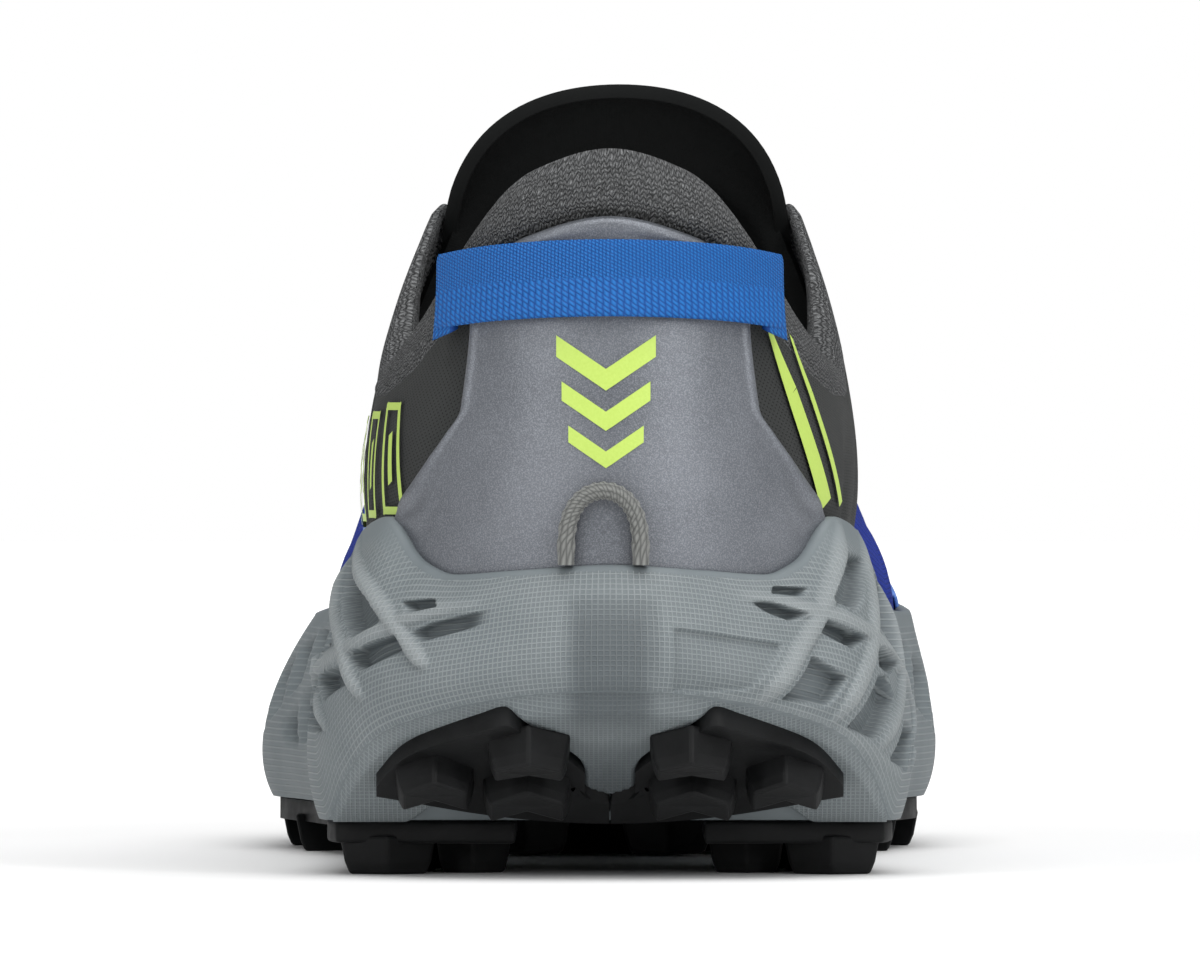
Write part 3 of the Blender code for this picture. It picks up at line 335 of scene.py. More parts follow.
@functools.lru_cache(maxsize=None)
def upper_curve(side, t):
    hand = UPPER.at("lateral" if side < 0 else "medial", t)
    foot = UPPER.at("foot", t) * hand
    low = bed_height(in_plan(side, t, foot)[1])
    rise = (
        COLLAR_HEIGHT * UPPER.at("collar", t)
        + INSTEP_HEIGHT * UPPER.at("instep", t)
        + TOE_HEIGHT * UPPER.at("toe", t)
    )
    high = bed_height(SPINE.at("y", t) * LENGTH) + rise
    lean = side * UPPER.at("lean", t)
    shoulder = UPPER.at("shoulder", t) * hand + lean
    belly_z = low + UPPER.at("belly_up", t) * (high - low)
    shoulder_z = low + UPPER.at("shoulder_up", t) * (high - low)
    reach = [foot, UPPER.at("belly", t) * hand, shoulder, UPPER.at("edge", t) + lean]
    return reach, [low, belly_z, shoulder_z, high]


def upper_section(side, t, v):
    reach, lift = upper_curve(side, t)
    return bezier(reach, v), bezier(lift, v)


def upper_point(side, t, v):
    reach, z = upper_section(side, t, v)
    return Vector((*in_plan(side, t, reach), z))


def upper_normal(side, t, v):
    step = 0.004
    t0, t1 = max(t - step, 0.0), min(t + step, 1.0)
    v0, v1 = max(v - step, 0.0), min(v + step, 1.0)
    along = upper_point(side, t1, v) - upper_point(side, t0, v)
    if t == 0.0:
        along = upper_point(side, step, v) - upper_point(-side, step, v)
    if t == 1.0:
        along = upper_point(-side, 1.0 - step, v) - upper_point(side, 1.0 - step, v)
    up = upper_point(side, t, v1) - upper_point(side, t, v0)
    return (along.cross(up) * side).normalized()


def off_upper(side, t, v, off):
    """A point off the upper's outer face."""
    return upper_point(side, t, v) + upper_normal(side, t, v) * off


@functools.lru_cache(maxsize=None)
def upper_at_height(side, t, z):
    low, high = 0.0, 1.0
    for _ in range(22):
        middle = (low + high) / 2
        if upper_section(side, t, middle)[1] < z:
            low = middle
        else:
            high = middle
    return low


@functools.lru_cache(maxsize=None)
def down_from_edge(side, t, distance):
    """The place v that lies a distance down the wall from its top edge."""
    steps, walked, v = 240, 0.0, 1.0
    last = upper_section(side, t, v)
    while walked < distance and v > 0.1:
        v -= 1 / steps
        here = upper_section(side, t, v)
        stride = math.hypot((here[0] - last[0]) * local_width(t), here[1] - last[1])
        if walked + stride > distance:
            return v + (1 - (distance - walked) / stride) / steps
        walked += stride
        last = here
    return v


# %% The midsole's surface
STATIONS = 800  # the midsole's curves are read at these and mixed between


@functools.lru_cache(maxsize=None)
def rim_height(t):
    return bed_height(SPINE.at("y", t) * LENGTH) + HEEL_STACK * RIM.at("rise", t)


@functools.lru_cache(maxsize=None)
def wall_station(side, k):
    t = min(k / STATIONS, 1.0)
    widest = SOLE.at("lateral" if side < 0 else "medial", t)
    low_reach = widest - SOLE.at("inset", t)
    low = underside_height(in_plan(side, t, low_reach)[1])
    high = rim_height(t)
    seat = upper_section(side, t, upper_at_height(side, t, high))[0]
    rim_reach = seat + (SEAT_GAP + RIM_WALL) / local_width(t)
    lift = [low, low + 0.26 * (high - low), low + 0.62 * (high - low), high]
    return [low_reach, widest + 0.026, widest - 0.006, rim_reach], lift


def wall_curve(side, t):
    k = int(t * STATIONS)
    share = t * STATIONS - k
    mixed = []
    for near, far in zip(wall_station(side, k), wall_station(side, k + 1)):
        mixed.append([a + (b - a) * share for a, b in zip(near, far)])
    return mixed


def sole_inner(side, t, z):
    seat = upper_section(side, t, upper_at_height(side, t, z))[0]
    return Vector((*in_plan_off(side, t, seat, SEAT_GAP), z))


def footbed(side, t):
    x, y = in_plan_off(side, t, upper_section(side, t, 0)[0], SEAT_GAP)
    return Vector((x, y, bed_height(y)))


def sole_edge(side, t, inset):
    low_reach = SOLE.at("lateral" if side < 0 else "medial", t) - SOLE.at("inset", t)
    return in_plan_off(side, t, low_reach, -inset)


def on_underside(x, y, below=0.0):
    step = 0.001
    slope = (underside_height(y + step) - underside_height(y - step)) / (2 * step)
    return Vector((x, y, underside_height(y) - GAP)) + Vector((0, slope, -1)).normalized() * below


# %% [markdown]
# These curves have the heel at y = 0, and the frame has its origin under the middle of the shoe. Two pieces
# of the frame whose place is known exactly give the step from one to the other: the insole's heel, and the
# middle of the strap, which lies on the heel's own axis.

# %% Where the shoe stands in the frame
insole_foot = upper_section(1, 0.0, 0)[0]
insole_heel = in_plan_off(1, 0.0, insole_foot, -(UPPER_WALL + 2.5 * SEAT_GAP))[1]
strap_low, strap_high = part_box("pull_tab")
SHOE_AT = Vector(((strap_low.x + strap_high.x) / 2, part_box("insole")[0].y - insole_heel, 0))
INSIDE = Vector((0, 0.14, 0.05))
print("heel axis at", [round(c * 1000, 2) for c in SHOE_AT], "mm")

# %% [markdown]
# Nearly every piece of a shoe is a sheet that follows the last. bmesh's create_grid makes such a sheet
# flat, and each corner is then carried to its place. The same call gives it a UV map measured in metres, so
# that a weave keeps its real scale wherever the cloth goes.

# %% Helpers for sheets and objects


def lay_grid(bm, across, along, place, uv=None, finish=None, marks=None):
    """A sheet of across by along faces. place, uv and marks are read at each corner, finish for each face."""
    uv_layer = bm.loops.layers.uv.verify()
    layers = bm.verts.layers.float
    values = [(layers.get(name) or layers.new(name), name) for name in marks or {}]
    made = bmesh.ops.create_grid(bm, x_segments=across, y_segments=along, size=0.5)
    spots = {}
    for vert in made["verts"]:
        spots[vert] = round((vert.co.x + 0.5) * across), round((vert.co.y + 0.5) * along)
    for face in {face for vert in spots for face in vert.link_faces}:
        corners = [spots[loop.vert] for loop in face.loops]
        if uv:
            for loop, corner in zip(face.loops, corners):
                loop[uv_layer].uv = uv(*corner)
        if finish:
            face.material_index = finish(min(i for i, j in corners), min(j for i, j in corners))
    for vert, (i, j) in spots.items():
        for layer, name in values:
            vert[layer] = marks[name](i, j)
        vert.co = place(i, j)
    return list(spots)


def weld(bm, distance=0.00002):
    bmesh.ops.remove_doubles(bm, verts=bm.verts, dist=distance)
    bmesh.ops.recalc_face_normals(bm, faces=bm.faces)


def face_away(bm, centre):
    """Turns an open sheet so that its faces look away from a point inside the shoe."""
    bm.normal_update()
    if sum((face.calc_center_median() - centre).dot(face.normal) * face.calc_area() for face in bm.faces) < 0:
        bmesh.ops.reverse_faces(bm, faces=bm.faces)


def close_ends(bm, rings):
    """Caps a tube's two ends with one face each."""
    for ring in rings:
        bm.faces.new([bm.verts.new(corner) for corner in ring])


def piece(name, bm, finishes, replaced=(), soft=True):
    """Carries a mesh into the frame, as an object that rides on the shoe and hides the parts it replaces."""
    bmesh.ops.translate(bm, verts=bm.verts, vec=SHOE_AT)
    mesh = bpy.data.meshes.new(name)
    bm.to_mesh(mesh)
    bm.free()
    for finish in finishes:
        mesh.materials.append(finish)
    if soft:
        mesh.shade_smooth()
    made = bpy.data.objects.new(name, mesh)
    bpy.context.scene.collection.objects.link(made)
    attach(made, "root")
    if replaced:
        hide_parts(*replaced)
    print(f"{name}: {len(mesh.polygons)} faces")
    return made


def give_wall(made, thickness, rounded=0.0):
    """Grows a sheet inward to its real thickness and softens the edge."""
    wall = made.modifiers.new("wall", "SOLIDIFY")
    wall.thickness = thickness
    wall.offset = -1
    if rounded:
        bevel = made.modifiers.new("rounded", "BEVEL")
        bevel.width = rounded
        bevel.segments = 2
        bevel.limit_method = "ANGLE"
        bevel.angle_limit = math.radians(50)
    return wall


print("helpers ready")

# %% [markdown]
# Materials come next. An effect that several finishes share is a node group with its own inputs: threads
# that cross, a knit, rows of small holes, fine grain, and slow mottling. Each material places the group
# with its own scale. The groups only put out values; colour, roughness and bump are made from them in the
# material.

# %% Short hands for shader nodes


def feed(tree, socket, value):
    if isinstance(value, bpy.types.NodeSocket):
        tree.links.new(value, socket)
    else:
        socket.default_value = value


def maths(tree, operation, *values):
    made = tree.nodes.new("ShaderNodeMath")
    made.operation = operation
    for socket, value in zip(made.inputs, values):
        feed(tree, socket, value)
    return made.outputs[0]


def smooth(tree, value, low, high, start=0.0, end=1.0):
    """Eases a value from start to end as it goes from low to high."""
    made = tree.nodes.new("ShaderNodeMapRange")
    made.interpolation_type = "SMOOTHSTEP"
    settings = {"Value": value, "From Min": low, "From Max": high, "To Min": start, "To Max": end}
    for label, given in settings.items():
        feed(tree, made.inputs[label], given)
    return made.outputs[0]


def blend_colours(tree, share, first, second):
    made = tree.nodes.new("ShaderNodeMix")
    made.data_type = "RGBA"
    feed(tree, made.inputs[0], share)
    feed(tree, made.inputs[6], first if isinstance(first, bpy.types.NodeSocket) else (*first, 1.0))
    feed(tree, made.inputs[7], second if isinstance(second, bpy.types.NodeSocket) else (*second, 1.0))
    return made.outputs[2]


def bump(tree, height, distance, strength=1.0, under=None):
    made = tree.nodes.new("ShaderNodeBump")
    made.inputs["Strength"].default_value = strength
    made.inputs["Distance"].default_value = distance
    feed(tree, made.inputs["Height"], height)
    if under:
        feed(tree, made.inputs["Normal"], under)
    return made.outputs[0]


def read_attribute(tree, name):
    made = tree.nodes.new("ShaderNodeAttribute")
    made.attribute_name = name
    return made.outputs["Fac"]


def read_place(tree, output):
    """The piece's own coordinates: UV in metres or pattern squares, or Object in metres."""
    return tree.nodes.new("ShaderNodeTexCoord").outputs[output]


def split(tree, vector):
    made = tree.nodes.new("ShaderNodeSeparateXYZ")
    feed(tree, made.inputs[0], vector)
    return made.outputs[0], made.outputs[1]


def new_group(name, inputs, outputs):
    group = bpy.data.node_groups.new(name, "ShaderNodeTree")
    for label, kind, value in inputs:
        socket = group.interface.new_socket(label, in_out="INPUT", socket_type=kind)
        if value is not None:
            socket.default_value = value
    for label in outputs:
        group.interface.new_socket(label, in_out="OUTPUT", socket_type="NodeSocketFloat")
    return group, group.nodes.new("NodeGroupInput").outputs, group.nodes.new("NodeGroupOutput").inputs


def use(tree, group, **values):
    made = tree.nodes.new("ShaderNodeGroup")
    made.node_tree = group
    for label, value in values.items():
        feed(tree, made.inputs[label], value)
    return made.outputs


FLOAT, VECTOR = "NodeSocketFloat", "NodeSocketVector"
THREAD_SCALES = [("Place", VECTOR, None), ("Across", FLOAT, 0.001), ("Along", FLOAT, 0.001)]

# %% [markdown]
# A plain weave is two sets of half-round threads. In every other square the first set lies on top. The knit
# bends its rows into small waves, and a little noise in its coordinates keeps it from looking printed.

# %% Node groups for cloth


def make_weave():
    """Threads that cross. Height is 1 on the crown of a thread and 0 between threads."""
    group, given, out = new_group("crossing_threads", [*THREAD_SCALES, ("Slant", FLOAT, 0.0)], ["Height"])
    x, y = split(group, given["Place"])
    u = maths(group, "DIVIDE", x, given["Across"])
    straight = maths(group, "DIVIDE", y, given["Along"])
    v = maths(group, "MULTIPLY_ADD", u, given["Slant"], straight)
    squares = maths(group, "ADD", maths(group, "FLOOR", u), maths(group, "FLOOR", v))
    parity = maths(group, "FLOORED_MODULO", squares, 2.0)
    first = maths(group, "ABSOLUTE", maths(group, "SINE", maths(group, "MULTIPLY", u, math.pi)))
    second = maths(group, "ABSOLUTE", maths(group, "SINE", maths(group, "MULTIPLY", v, math.pi)))
    on_top = maths(group, "MULTIPLY", maths(group, "POWER", first, 0.35), second)
    below = maths(group, "MULTIPLY", first, maths(group, "POWER", second, 0.35))
    mixed = group.nodes.new("ShaderNodeMix")
    feed(group, mixed.inputs[0], parity)
    feed(group, mixed.inputs[2], on_top)
    feed(group, mixed.inputs[3], below)
    group.links.new(mixed.outputs[0], out["Height"])
    return group


def make_knit():
    """Rows of knitted loops, shaken a little."""
    inputs = [("Place", VECTOR, None), ("Stitch", FLOAT, 0.0008), ("Shake", FLOAT, 0.3)]
    group, given, out = new_group("knitted_loops", inputs, ["Height"])
    noise = group.nodes.new("ShaderNodeTexNoise")
    feed(group, noise.inputs["Vector"], given["Place"])
    feed(group, noise.inputs["Scale"], maths(group, "DIVIDE", 0.45, given["Stitch"]))
    noise.inputs["Detail"].default_value = 3.0
    wander = maths(group, "MULTIPLY", maths(group, "SUBTRACT", noise.outputs[0], 0.5), given["Shake"])
    x, y = split(group, given["Place"])
    u = maths(group, "ADD", maths(group, "DIVIDE", x, given["Stitch"]), wander)
    zigzag = maths(group, "PINGPONG", u, 0.5)
    v = maths(group, "ADD", maths(group, "DIVIDE", y, maths(group, "MULTIPLY", given["Stitch"], 0.8)), zigzag)
    v = maths(group, "MULTIPLY_ADD", wander, 1.6, v)
    loop = maths(group, "ABSOLUTE", maths(group, "SINE", maths(group, "MULTIPLY", v, math.pi)))
    leg = maths(group, "ABSOLUTE", maths(group, "SINE", maths(group, "MULTIPLY", u, 2 * math.pi)))
    height = maths(group, "MULTIPLY", loop, maths(group, "MULTIPLY_ADD", leg, 0.55, 0.45))
    group.links.new(height, out["Height"])
    return group


def make_holes():
    """Staggered rows of small oval holes, 1 inside a hole."""
    group, given, out = new_group("staggered_holes", [*THREAD_SCALES, ("Size", FLOAT, 0.3)], ["Hole"])
    x, y = split(group, given["Place"])
    v = maths(group, "DIVIDE", y, given["Along"])
    shift = maths(group, "MULTIPLY", maths(group, "FLOORED_MODULO", maths(group, "FLOOR", v), 2.0), 0.5)
    u = maths(group, "ADD", maths(group, "DIVIDE", x, given["Across"]), shift)
    du = maths(group, "SUBTRACT", maths(group, "FRACT", u), 0.5)
    dv = maths(group, "MULTIPLY", maths(group, "SUBTRACT", maths(group, "FRACT", v), 0.5), 1.3)
    squared = maths(group, "ADD", maths(group, "MULTIPLY", du, du), maths(group, "MULTIPLY", dv, dv))
    far = maths(group, "SQRT", squared)
    inner = maths(group, "MULTIPLY", given["Size"], 0.55)
    group.links.new(smooth(group, far, given["Size"], inner), out["Hole"])
    return group


# %% Node groups for grain, mottling and moulded lines


def make_grain():
    """Fine grain from noise, centred on a half."""
    group, given, out = new_group("fine_grain", [("Place", VECTOR, None), ("Size", FLOAT, 0.0003)], ["Value"])
    noise = group.nodes.new("ShaderNodeTexNoise")
    feed(group, noise.inputs["Vector"], given["Place"])
    feed(group, noise.inputs["Scale"], maths(group, "DIVIDE", 1.0, given["Size"]))
    noise.inputs["Detail"].default_value = 3.0
    noise.inputs["Roughness"].default_value = 0.6
    group.links.new(noise.outputs[0], out["Value"])
    return group


def make_mottle():
    """Slow changes of tone over centimetres, as handling and moulding leave them."""
    group, given, out = new_group("slow_mottle", [("Place", VECTOR, None), ("Size", FLOAT, 0.02)], ["Value"])
    noise = group.nodes.new("ShaderNodeTexNoise")
    feed(group, noise.inputs["Vector"], given["Place"])
    feed(group, noise.inputs["Scale"], maths(group, "DIVIDE", 1.0, given["Size"]))
    noise.inputs["Detail"].default_value = 4.0
    group.links.new(smooth(group, noise.outputs[0], 0.3, 0.7), out["Value"])
    return group


def make_moulded_line():
    """1 on thin raised lines at whole numbers of a coordinate, 0 between them."""
    group, given, out = new_group("moulded_lines", [("Count", FLOAT, 0.0), ("Width", FLOAT, 0.3)], ["Line"])
    away = maths(group, "PINGPONG", given["Count"], 0.5)
    half = maths(group, "MULTIPLY", given["Width"], 0.5)
    group.links.new(smooth(group, away, half, maths(group, "MULTIPLY", half, 0.35)), out["Line"])
    return group


weave, knit, holes = make_weave(), make_knit(), make_holes()
grain, mottle, moulded_line = make_grain(), make_mottle(), make_moulded_line()
print("groups:", [group.name for group in bpy.data.node_groups])

# %% [markdown]
# Each finish is a Principled shader. What is the same all over is set on its own socket; what changes over
# the surface comes from the groups.

# %% Finishes


def start_finish(name, roughness, metallic=0.0, **settings):
    made = bpy.data.materials.new(name)
    made.use_nodes = True
    tree = made.node_tree
    shader = tree.nodes["Principled BSDF"]
    shader.inputs["Roughness"].default_value = roughness
    shader.inputs["Metallic"].default_value = metallic
    for label, value in settings.items():
        shader.inputs[label.replace("_", " ")].default_value = value
    return made, tree, shader.inputs


def make_foam():
    """Moulded foam: a fine grid on the heel that turns into lines on the sides, lines lighter than pits."""
    made, tree, shader = start_finish("foam", 0.62, Specular_IOR_Level=0.35)
    u, v = split(tree, read_place(tree, "UV"))
    upright = use(tree, moulded_line, Count=u, Width=0.42)[0]
    level = use(tree, moulded_line, Count=v, Width=0.42)[0]
    upright = maths(tree, "MULTIPLY", upright, read_attribute(tree, "squares"))
    lines = maths(tree, "MAXIMUM", upright, level)
    lines = maths(tree, "MULTIPLY", lines, read_attribute(tree, "lined"))
    tone = use(tree, mottle, Place=read_place(tree, "Object"), Size=0.012)[0]
    # The attribute holds painted light: above 0 a painted shade in the cells and the heel's middle panel,
    # below 0 a painted highlight on the rib crests.
    cell_share_and_painted_light = read_attribute(tree, "cell_share_and_painted_light")
    pit = blend_colours(tree, tone, (0.130, 0.152, 0.162), (0.150, 0.173, 0.182))
    raised = blend_colours(tree, tone, (0.205, 0.230, 0.236), (0.232, 0.256, 0.262))
    colour = blend_colours(tree, lines, pit, raised)
    # Painted highlight: the rib crests are lightened.
    crest = maths(tree, "MAXIMUM", maths(tree, "MULTIPLY", cell_share_and_painted_light, -1.0), 0.0)
    colour = blend_colours(tree, crest, colour, (0.330, 0.352, 0.356))
    # Painted shade: the cells and the heel's middle panel are darkened towards near-black.
    deep = maths(tree, "MULTIPLY", maths(tree, "MAXIMUM", cell_share_and_painted_light, 0.0), 0.75)
    feed(tree, shader["Base Color"], blend_colours(tree, deep, colour, (0.045, 0.055, 0.062)))
    fine = use(tree, grain, Place=read_place(tree, "Object"), Size=0.00035)[0]
    rough = bump(tree, fine, 0.00003, 0.5)
    feed(tree, shader["Normal"], bump(tree, lines, 0.00016, 0.9, rough))
    return made


def make_rubber():
    made, tree, shader = start_finish("rubber", 0.55, Specular_IOR_Level=0.18)
    place = read_place(tree, "Object")
    tone = use(tree, mottle, Place=place, Size=0.006)[0]
    fine = use(tree, grain, Place=place, Size=0.0003)[0]
    black, dusty = (0.0040, 0.0043, 0.0046), (0.0085, 0.0090, 0.0095)
    feed(tree, shader["Base Color"], blend_colours(tree, tone, black, dusty))
    feed(tree, shader["Roughness"], maths(tree, "MULTIPLY_ADD", tone, 0.18, 0.5))
    feed(tree, shader["Normal"], bump(tree, fine, 0.00005, 0.6))
    return made


def make_film(name, dark, light, metallic, roughness, speckle):
    """Thin moulded film: bright speckle in a soft ground, with a leathery bump."""
    made, tree, shader = start_finish(name, roughness, metallic, Specular_IOR_Level=0.5)
    place = read_place(tree, "Object")
    fine = use(tree, grain, Place=place, Size=0.00022)[0]
    coarse = use(tree, grain, Place=place, Size=0.0011)[0]
    tone = use(tree, mottle, Place=place, Size=0.02)[0]
    spots = smooth(tree, fine, 0.42, 0.66)
    shade = maths(tree, "ADD", maths(tree, "MULTIPLY", spots, speckle), maths(tree, "MULTIPLY", tone, 0.25))
    feed(tree, shader["Base Color"], blend_colours(tree, shade, dark, light))
    feed(tree, shader["Roughness"], maths(tree, "MULTIPLY_ADD", tone, 0.08, roughness - 0.04))
    skin = bump(tree, coarse, 0.00012, 0.35)
    feed(tree, shader["Normal"], bump(tree, fine, 0.00006, 0.6, skin))
    return made


def make_holed_cloth(name, dark, light, across, along, size, specular=0.3):
    """Mesh cloth: threads with staggered rows of small holes."""
    made, tree, shader = start_finish(name, 0.85, Specular_IOR_Level=specular)
    place = read_place(tree, "UV")
    hole = use(tree, holes, Place=place, Across=across, Along=along, Size=size)[0]
    thread = use(tree, weave, Place=place, Across=across / 3, Along=along / 3, Slant=0.0)[0]
    tone = use(tree, mottle, Place=read_place(tree, "Object"), Size=0.015)[0]
    shade = maths(tree, "MULTIPLY_ADD", thread, 0.6, maths(tree, "MULTIPLY", tone, 0.3))
    ground = blend_colours(tree, shade, dark, light)
    feed(tree, shader["Base Color"], blend_colours(tree, hole, ground, [c * 0.25 for c in dark]))
    height = maths(tree, "SUBTRACT", maths(tree, "MULTIPLY", thread, 0.4), hole)
    feed(tree, shader["Normal"], bump(tree, height, 0.00014, 0.8))
    return made


def make_knit_cloth(name, dark, light, stitch, shake):
    made, tree, shader = start_finish(name, 0.9, Specular_IOR_Level=0.2)
    place = read_place(tree, "UV")
    loops = use(tree, knit, Place=place, Stitch=stitch, Shake=shake)[0]
    fuzz = use(tree, grain, Place=place, Size=0.0005)[0]
    shade = maths(tree, "MULTIPLY_ADD", loops, 0.8, maths(tree, "MULTIPLY", fuzz, 0.3))
    feed(tree, shader["Base Color"], blend_colours(tree, shade, dark, light))
    feed(tree, shader["Normal"], bump(tree, loops, 0.0009, 1.0, bump(tree, fuzz, 0.0005, 0.7)))
    return made


def make_woven(name, dark, light, across, along, slant, depth=0.00016):
    made, tree, shader = start_finish(name, 0.7, Sheen_Weight=0.2, Sheen_Roughness=0.4)
    place = read_place(tree, "UV")
    threads = use(tree, weave, Place=place, Across=across, Along=along, Slant=slant)[0]
    fuzz = use(tree, grain, Place=place, Size=0.0004)[0]
    shade = maths(tree, "MULTIPLY_ADD", threads, 0.8, maths(tree, "MULTIPLY", fuzz, 0.25))
    feed(tree, shader["Base Color"], blend_colours(tree, shade, dark, light))
    feed(tree, shader["Normal"], bump(tree, threads, depth, 0.9))
    return made


def make_strap_cloth():
    """Webbing in two weaves: fine upright ribs in its upper half, a coarse twill in its lower half."""
    made, tree, shader = start_finish("strap_webbing", 0.6, Specular_IOR_Level=0.25)
    place = read_place(tree, "UV")
    fine = use(tree, weave, Place=place, Across=0.00068, Along=0.00058, Slant=0.5)[0]
    coarse = use(tree, weave, Place=place, Across=0.00125, Along=0.00085, Slant=0.85)[0]
    fuzz = use(tree, grain, Place=place, Size=0.0003)[0]
    lower = smooth(tree, split(tree, place)[1], 0.0001, -0.0003)
    threads = tree.nodes.new("ShaderNodeMix")
    for index, value in ((0, lower), (2, fine), (3, coarse)):
        feed(tree, threads.inputs[index], value)
    shade = maths(tree, "MULTIPLY_ADD", threads.outputs[0], 0.85, maths(tree, "MULTIPLY", fuzz, 0.2))
    feed(tree, shader["Base Color"], blend_colours(tree, shade, (0.003, 0.036, 0.20), (0.012, 0.145, 0.45)))
    feed(tree, shader["Normal"], bump(tree, threads.outputs[0], 0.00022, 0.9))
    return made


def make_print():
    made, tree, shader = start_finish("lime_print", 0.5, Specular_IOR_Level=0.4)
    fine = use(tree, grain, Place=read_place(tree, "Object"), Size=0.0004)[0]
    feed(tree, shader["Base Color"], blend_colours(tree, fine, (0.38, 0.53, 0.085), (0.47, 0.62, 0.13)))
    feed(tree, shader["Normal"], bump(tree, fine, 0.00005, 0.5))
    return made


foam, rubber, lime = make_foam(), make_rubber(), make_print()
heel_film = make_film("heel_film", (0.092, 0.099, 0.113), (0.238, 0.253, 0.280), 0.40, 0.42, 0.55)
grey_film = make_film("grey_film", (0.012, 0.013, 0.014), (0.030, 0.031, 0.033), 0.1, 0.55, 0.4)
blue_film = make_film("blue_film", (0.05, 0.13, 0.42), (0.13, 0.27, 0.66), 0.1, 0.45, 0.5)
quarter_mesh = make_holed_cloth(
    "quarter_mesh", (0.020, 0.0215, 0.0212), (0.044, 0.046, 0.045), 0.00100, 0.00082, 0.27
)
vamp_mesh = make_holed_cloth(
    "vamp_mesh", (0.004, 0.014, 0.16), (0.010, 0.034, 0.32), 0.0013, 0.0010, 0.26, 0.15
)
tongue_cloth = make_holed_cloth(
    "tongue_cloth", (0.0035, 0.004, 0.004), (0.007, 0.008, 0.008), 0.0009, 0.0009, 0.12, 0.2
)
lining = make_knit_cloth("lining_knit", (0.028, 0.029, 0.030), (0.215, 0.220, 0.224), 0.00115, 1.6)
liner = make_knit_cloth("sock_liner", (0.012, 0.012, 0.014), (0.035, 0.036, 0.04), 0.0012, 0.3)
strap_cloth = make_strap_cloth()
lace_cloth = make_woven("lace_cloth", (0.008, 0.03, 0.19), (0.03, 0.10, 0.45), 0.0009, 0.0009, 1.0)
cord_cloth = make_woven("cord_braid", (0.05, 0.052, 0.05), (0.20, 0.205, 0.195), 0.0011, 0.0011, 1.0)
print("finishes:", len(bpy.data.materials))

# %% [markdown]
# The midsole is a cup of foam. Its side carries a lattice: steep ribs that lean forward, flat ribs that
# fall toward the toe, and sunk cells between. The wall is one fine sheet, and its relief is counted at each
# corner of it: how deep inside a cell the corner lies, and how near the crest of a rib. Beside the heel the
# cells are laid out in millimetres round the heel and above the floor, because there the photograph
# shows each one. Further forward they follow the solid model's regular ribs.

# %% The regular lattice
SIDE_LENGTH = 0.385
CROSSING_T, CROSSING_UP = 0.098, 1.08
STEEP_PITCH, STEEP_GROWTH, STEEP_LEAN = 0.0365, 0.0006, 0.080
FLAT_PITCH, FLAT_FALL = 0.40, -2.9
RIB_WIDTH = 0.0027
CELLS_UP = 2
LAST_CELL = 14
LATTICE_FLOOR = Table(
    "lateral medial",
    [
        (0.121, 0.78, 0.68),
        (0.180, 0.58, 0.52),
        (0.450, 0.46, 0.46),
        (0.750, 0.52, 0.52),
        (1.000, 0.80, 0.80),
    ],
)


def lean_at(key):
    return STEEP_LEAN * min(key / 0.09, 1.0) * min((1 - key) / 0.15, 1.0)


def sheared(key, z):
    return key + lean_at(key) * (z / HEEL_STACK - CROSSING_UP)


def flat_rib(key, k):
    start = CROSSING_UP + k * FLAT_PITCH + FLAT_FALL * (key - CROSSING_T - lean_at(key) * CROSSING_UP)
    return HEEL_STACK * start / (1 - FLAT_FALL * lean_at(key))


def wall_limits(side, key):
    low, high = LUG_HEIGHT + RUBBER, rim_height(key)
    for _ in range(12):
        high = rim_height(sheared(key, high))
        low = wall_curve(side, sheared(key, low))[1][0]
    return low, high


def cell_limits(side, key):
    floor = LATTICE_FLOOR.at("lateral" if side < 0 else "medial", key - 0.025) * HEEL_STACK
    low, high = wall_limits(side, key)
    return max(floor, low + 0.004), high - 0.0030


def steep_rib(a):
    return CROSSING_T + a * STEEP_PITCH + a**2 * STEEP_GROWTH


def regular_cells(side, first):
    """The cells between the regular ribs, from steep rib number first to the toe."""
    cells = []
    half = RIB_WIDTH / 2 / SIDE_LENGTH / 0.86
    for a in range(first, LAST_CELL + 1):
        keys = steep_rib(a) + half, steep_rib(a + 1) - half
        middle = sum(keys) / 2
        floor, roof = cell_limits(side, middle)
        rows = []
        for k in range(-12, 30):
            low, high = flat_rib(middle, k) + RIB_WIDTH / 2, flat_rib(middle, k + 1) - RIB_WIDTH / 2
            if min(high, roof) - max(low, floor) > 0.0026:
                rows.append(k)
        for k in rows[-CELLS_UP:]:
            corners = []
            for key, shift in ((keys[0], 0), (keys[1], 0), (keys[1], 1), (keys[0], 1)):
                edge = flat_rib(key, k + shift) + (1 - 2 * shift) * RIB_WIDTH / 2
                z = min(max(edge, floor), roof)
                corners.append((sheared(key, z) * SIDE_LENGTH * 1000, z * 1000))
            cells.append((2.8, (0.7 + 1.7 * ease(middle, 0.15, 0.25),) * 4, corners))
    return cells


# %% [markdown]
# A cell has its depth, the width of the slope at each of its edges, and its corners. A wide slope at the
# lower edge makes a floor that rises to nothing, as on the outer side. A rib has the height and half width
# of its crest and the points that it runs through.

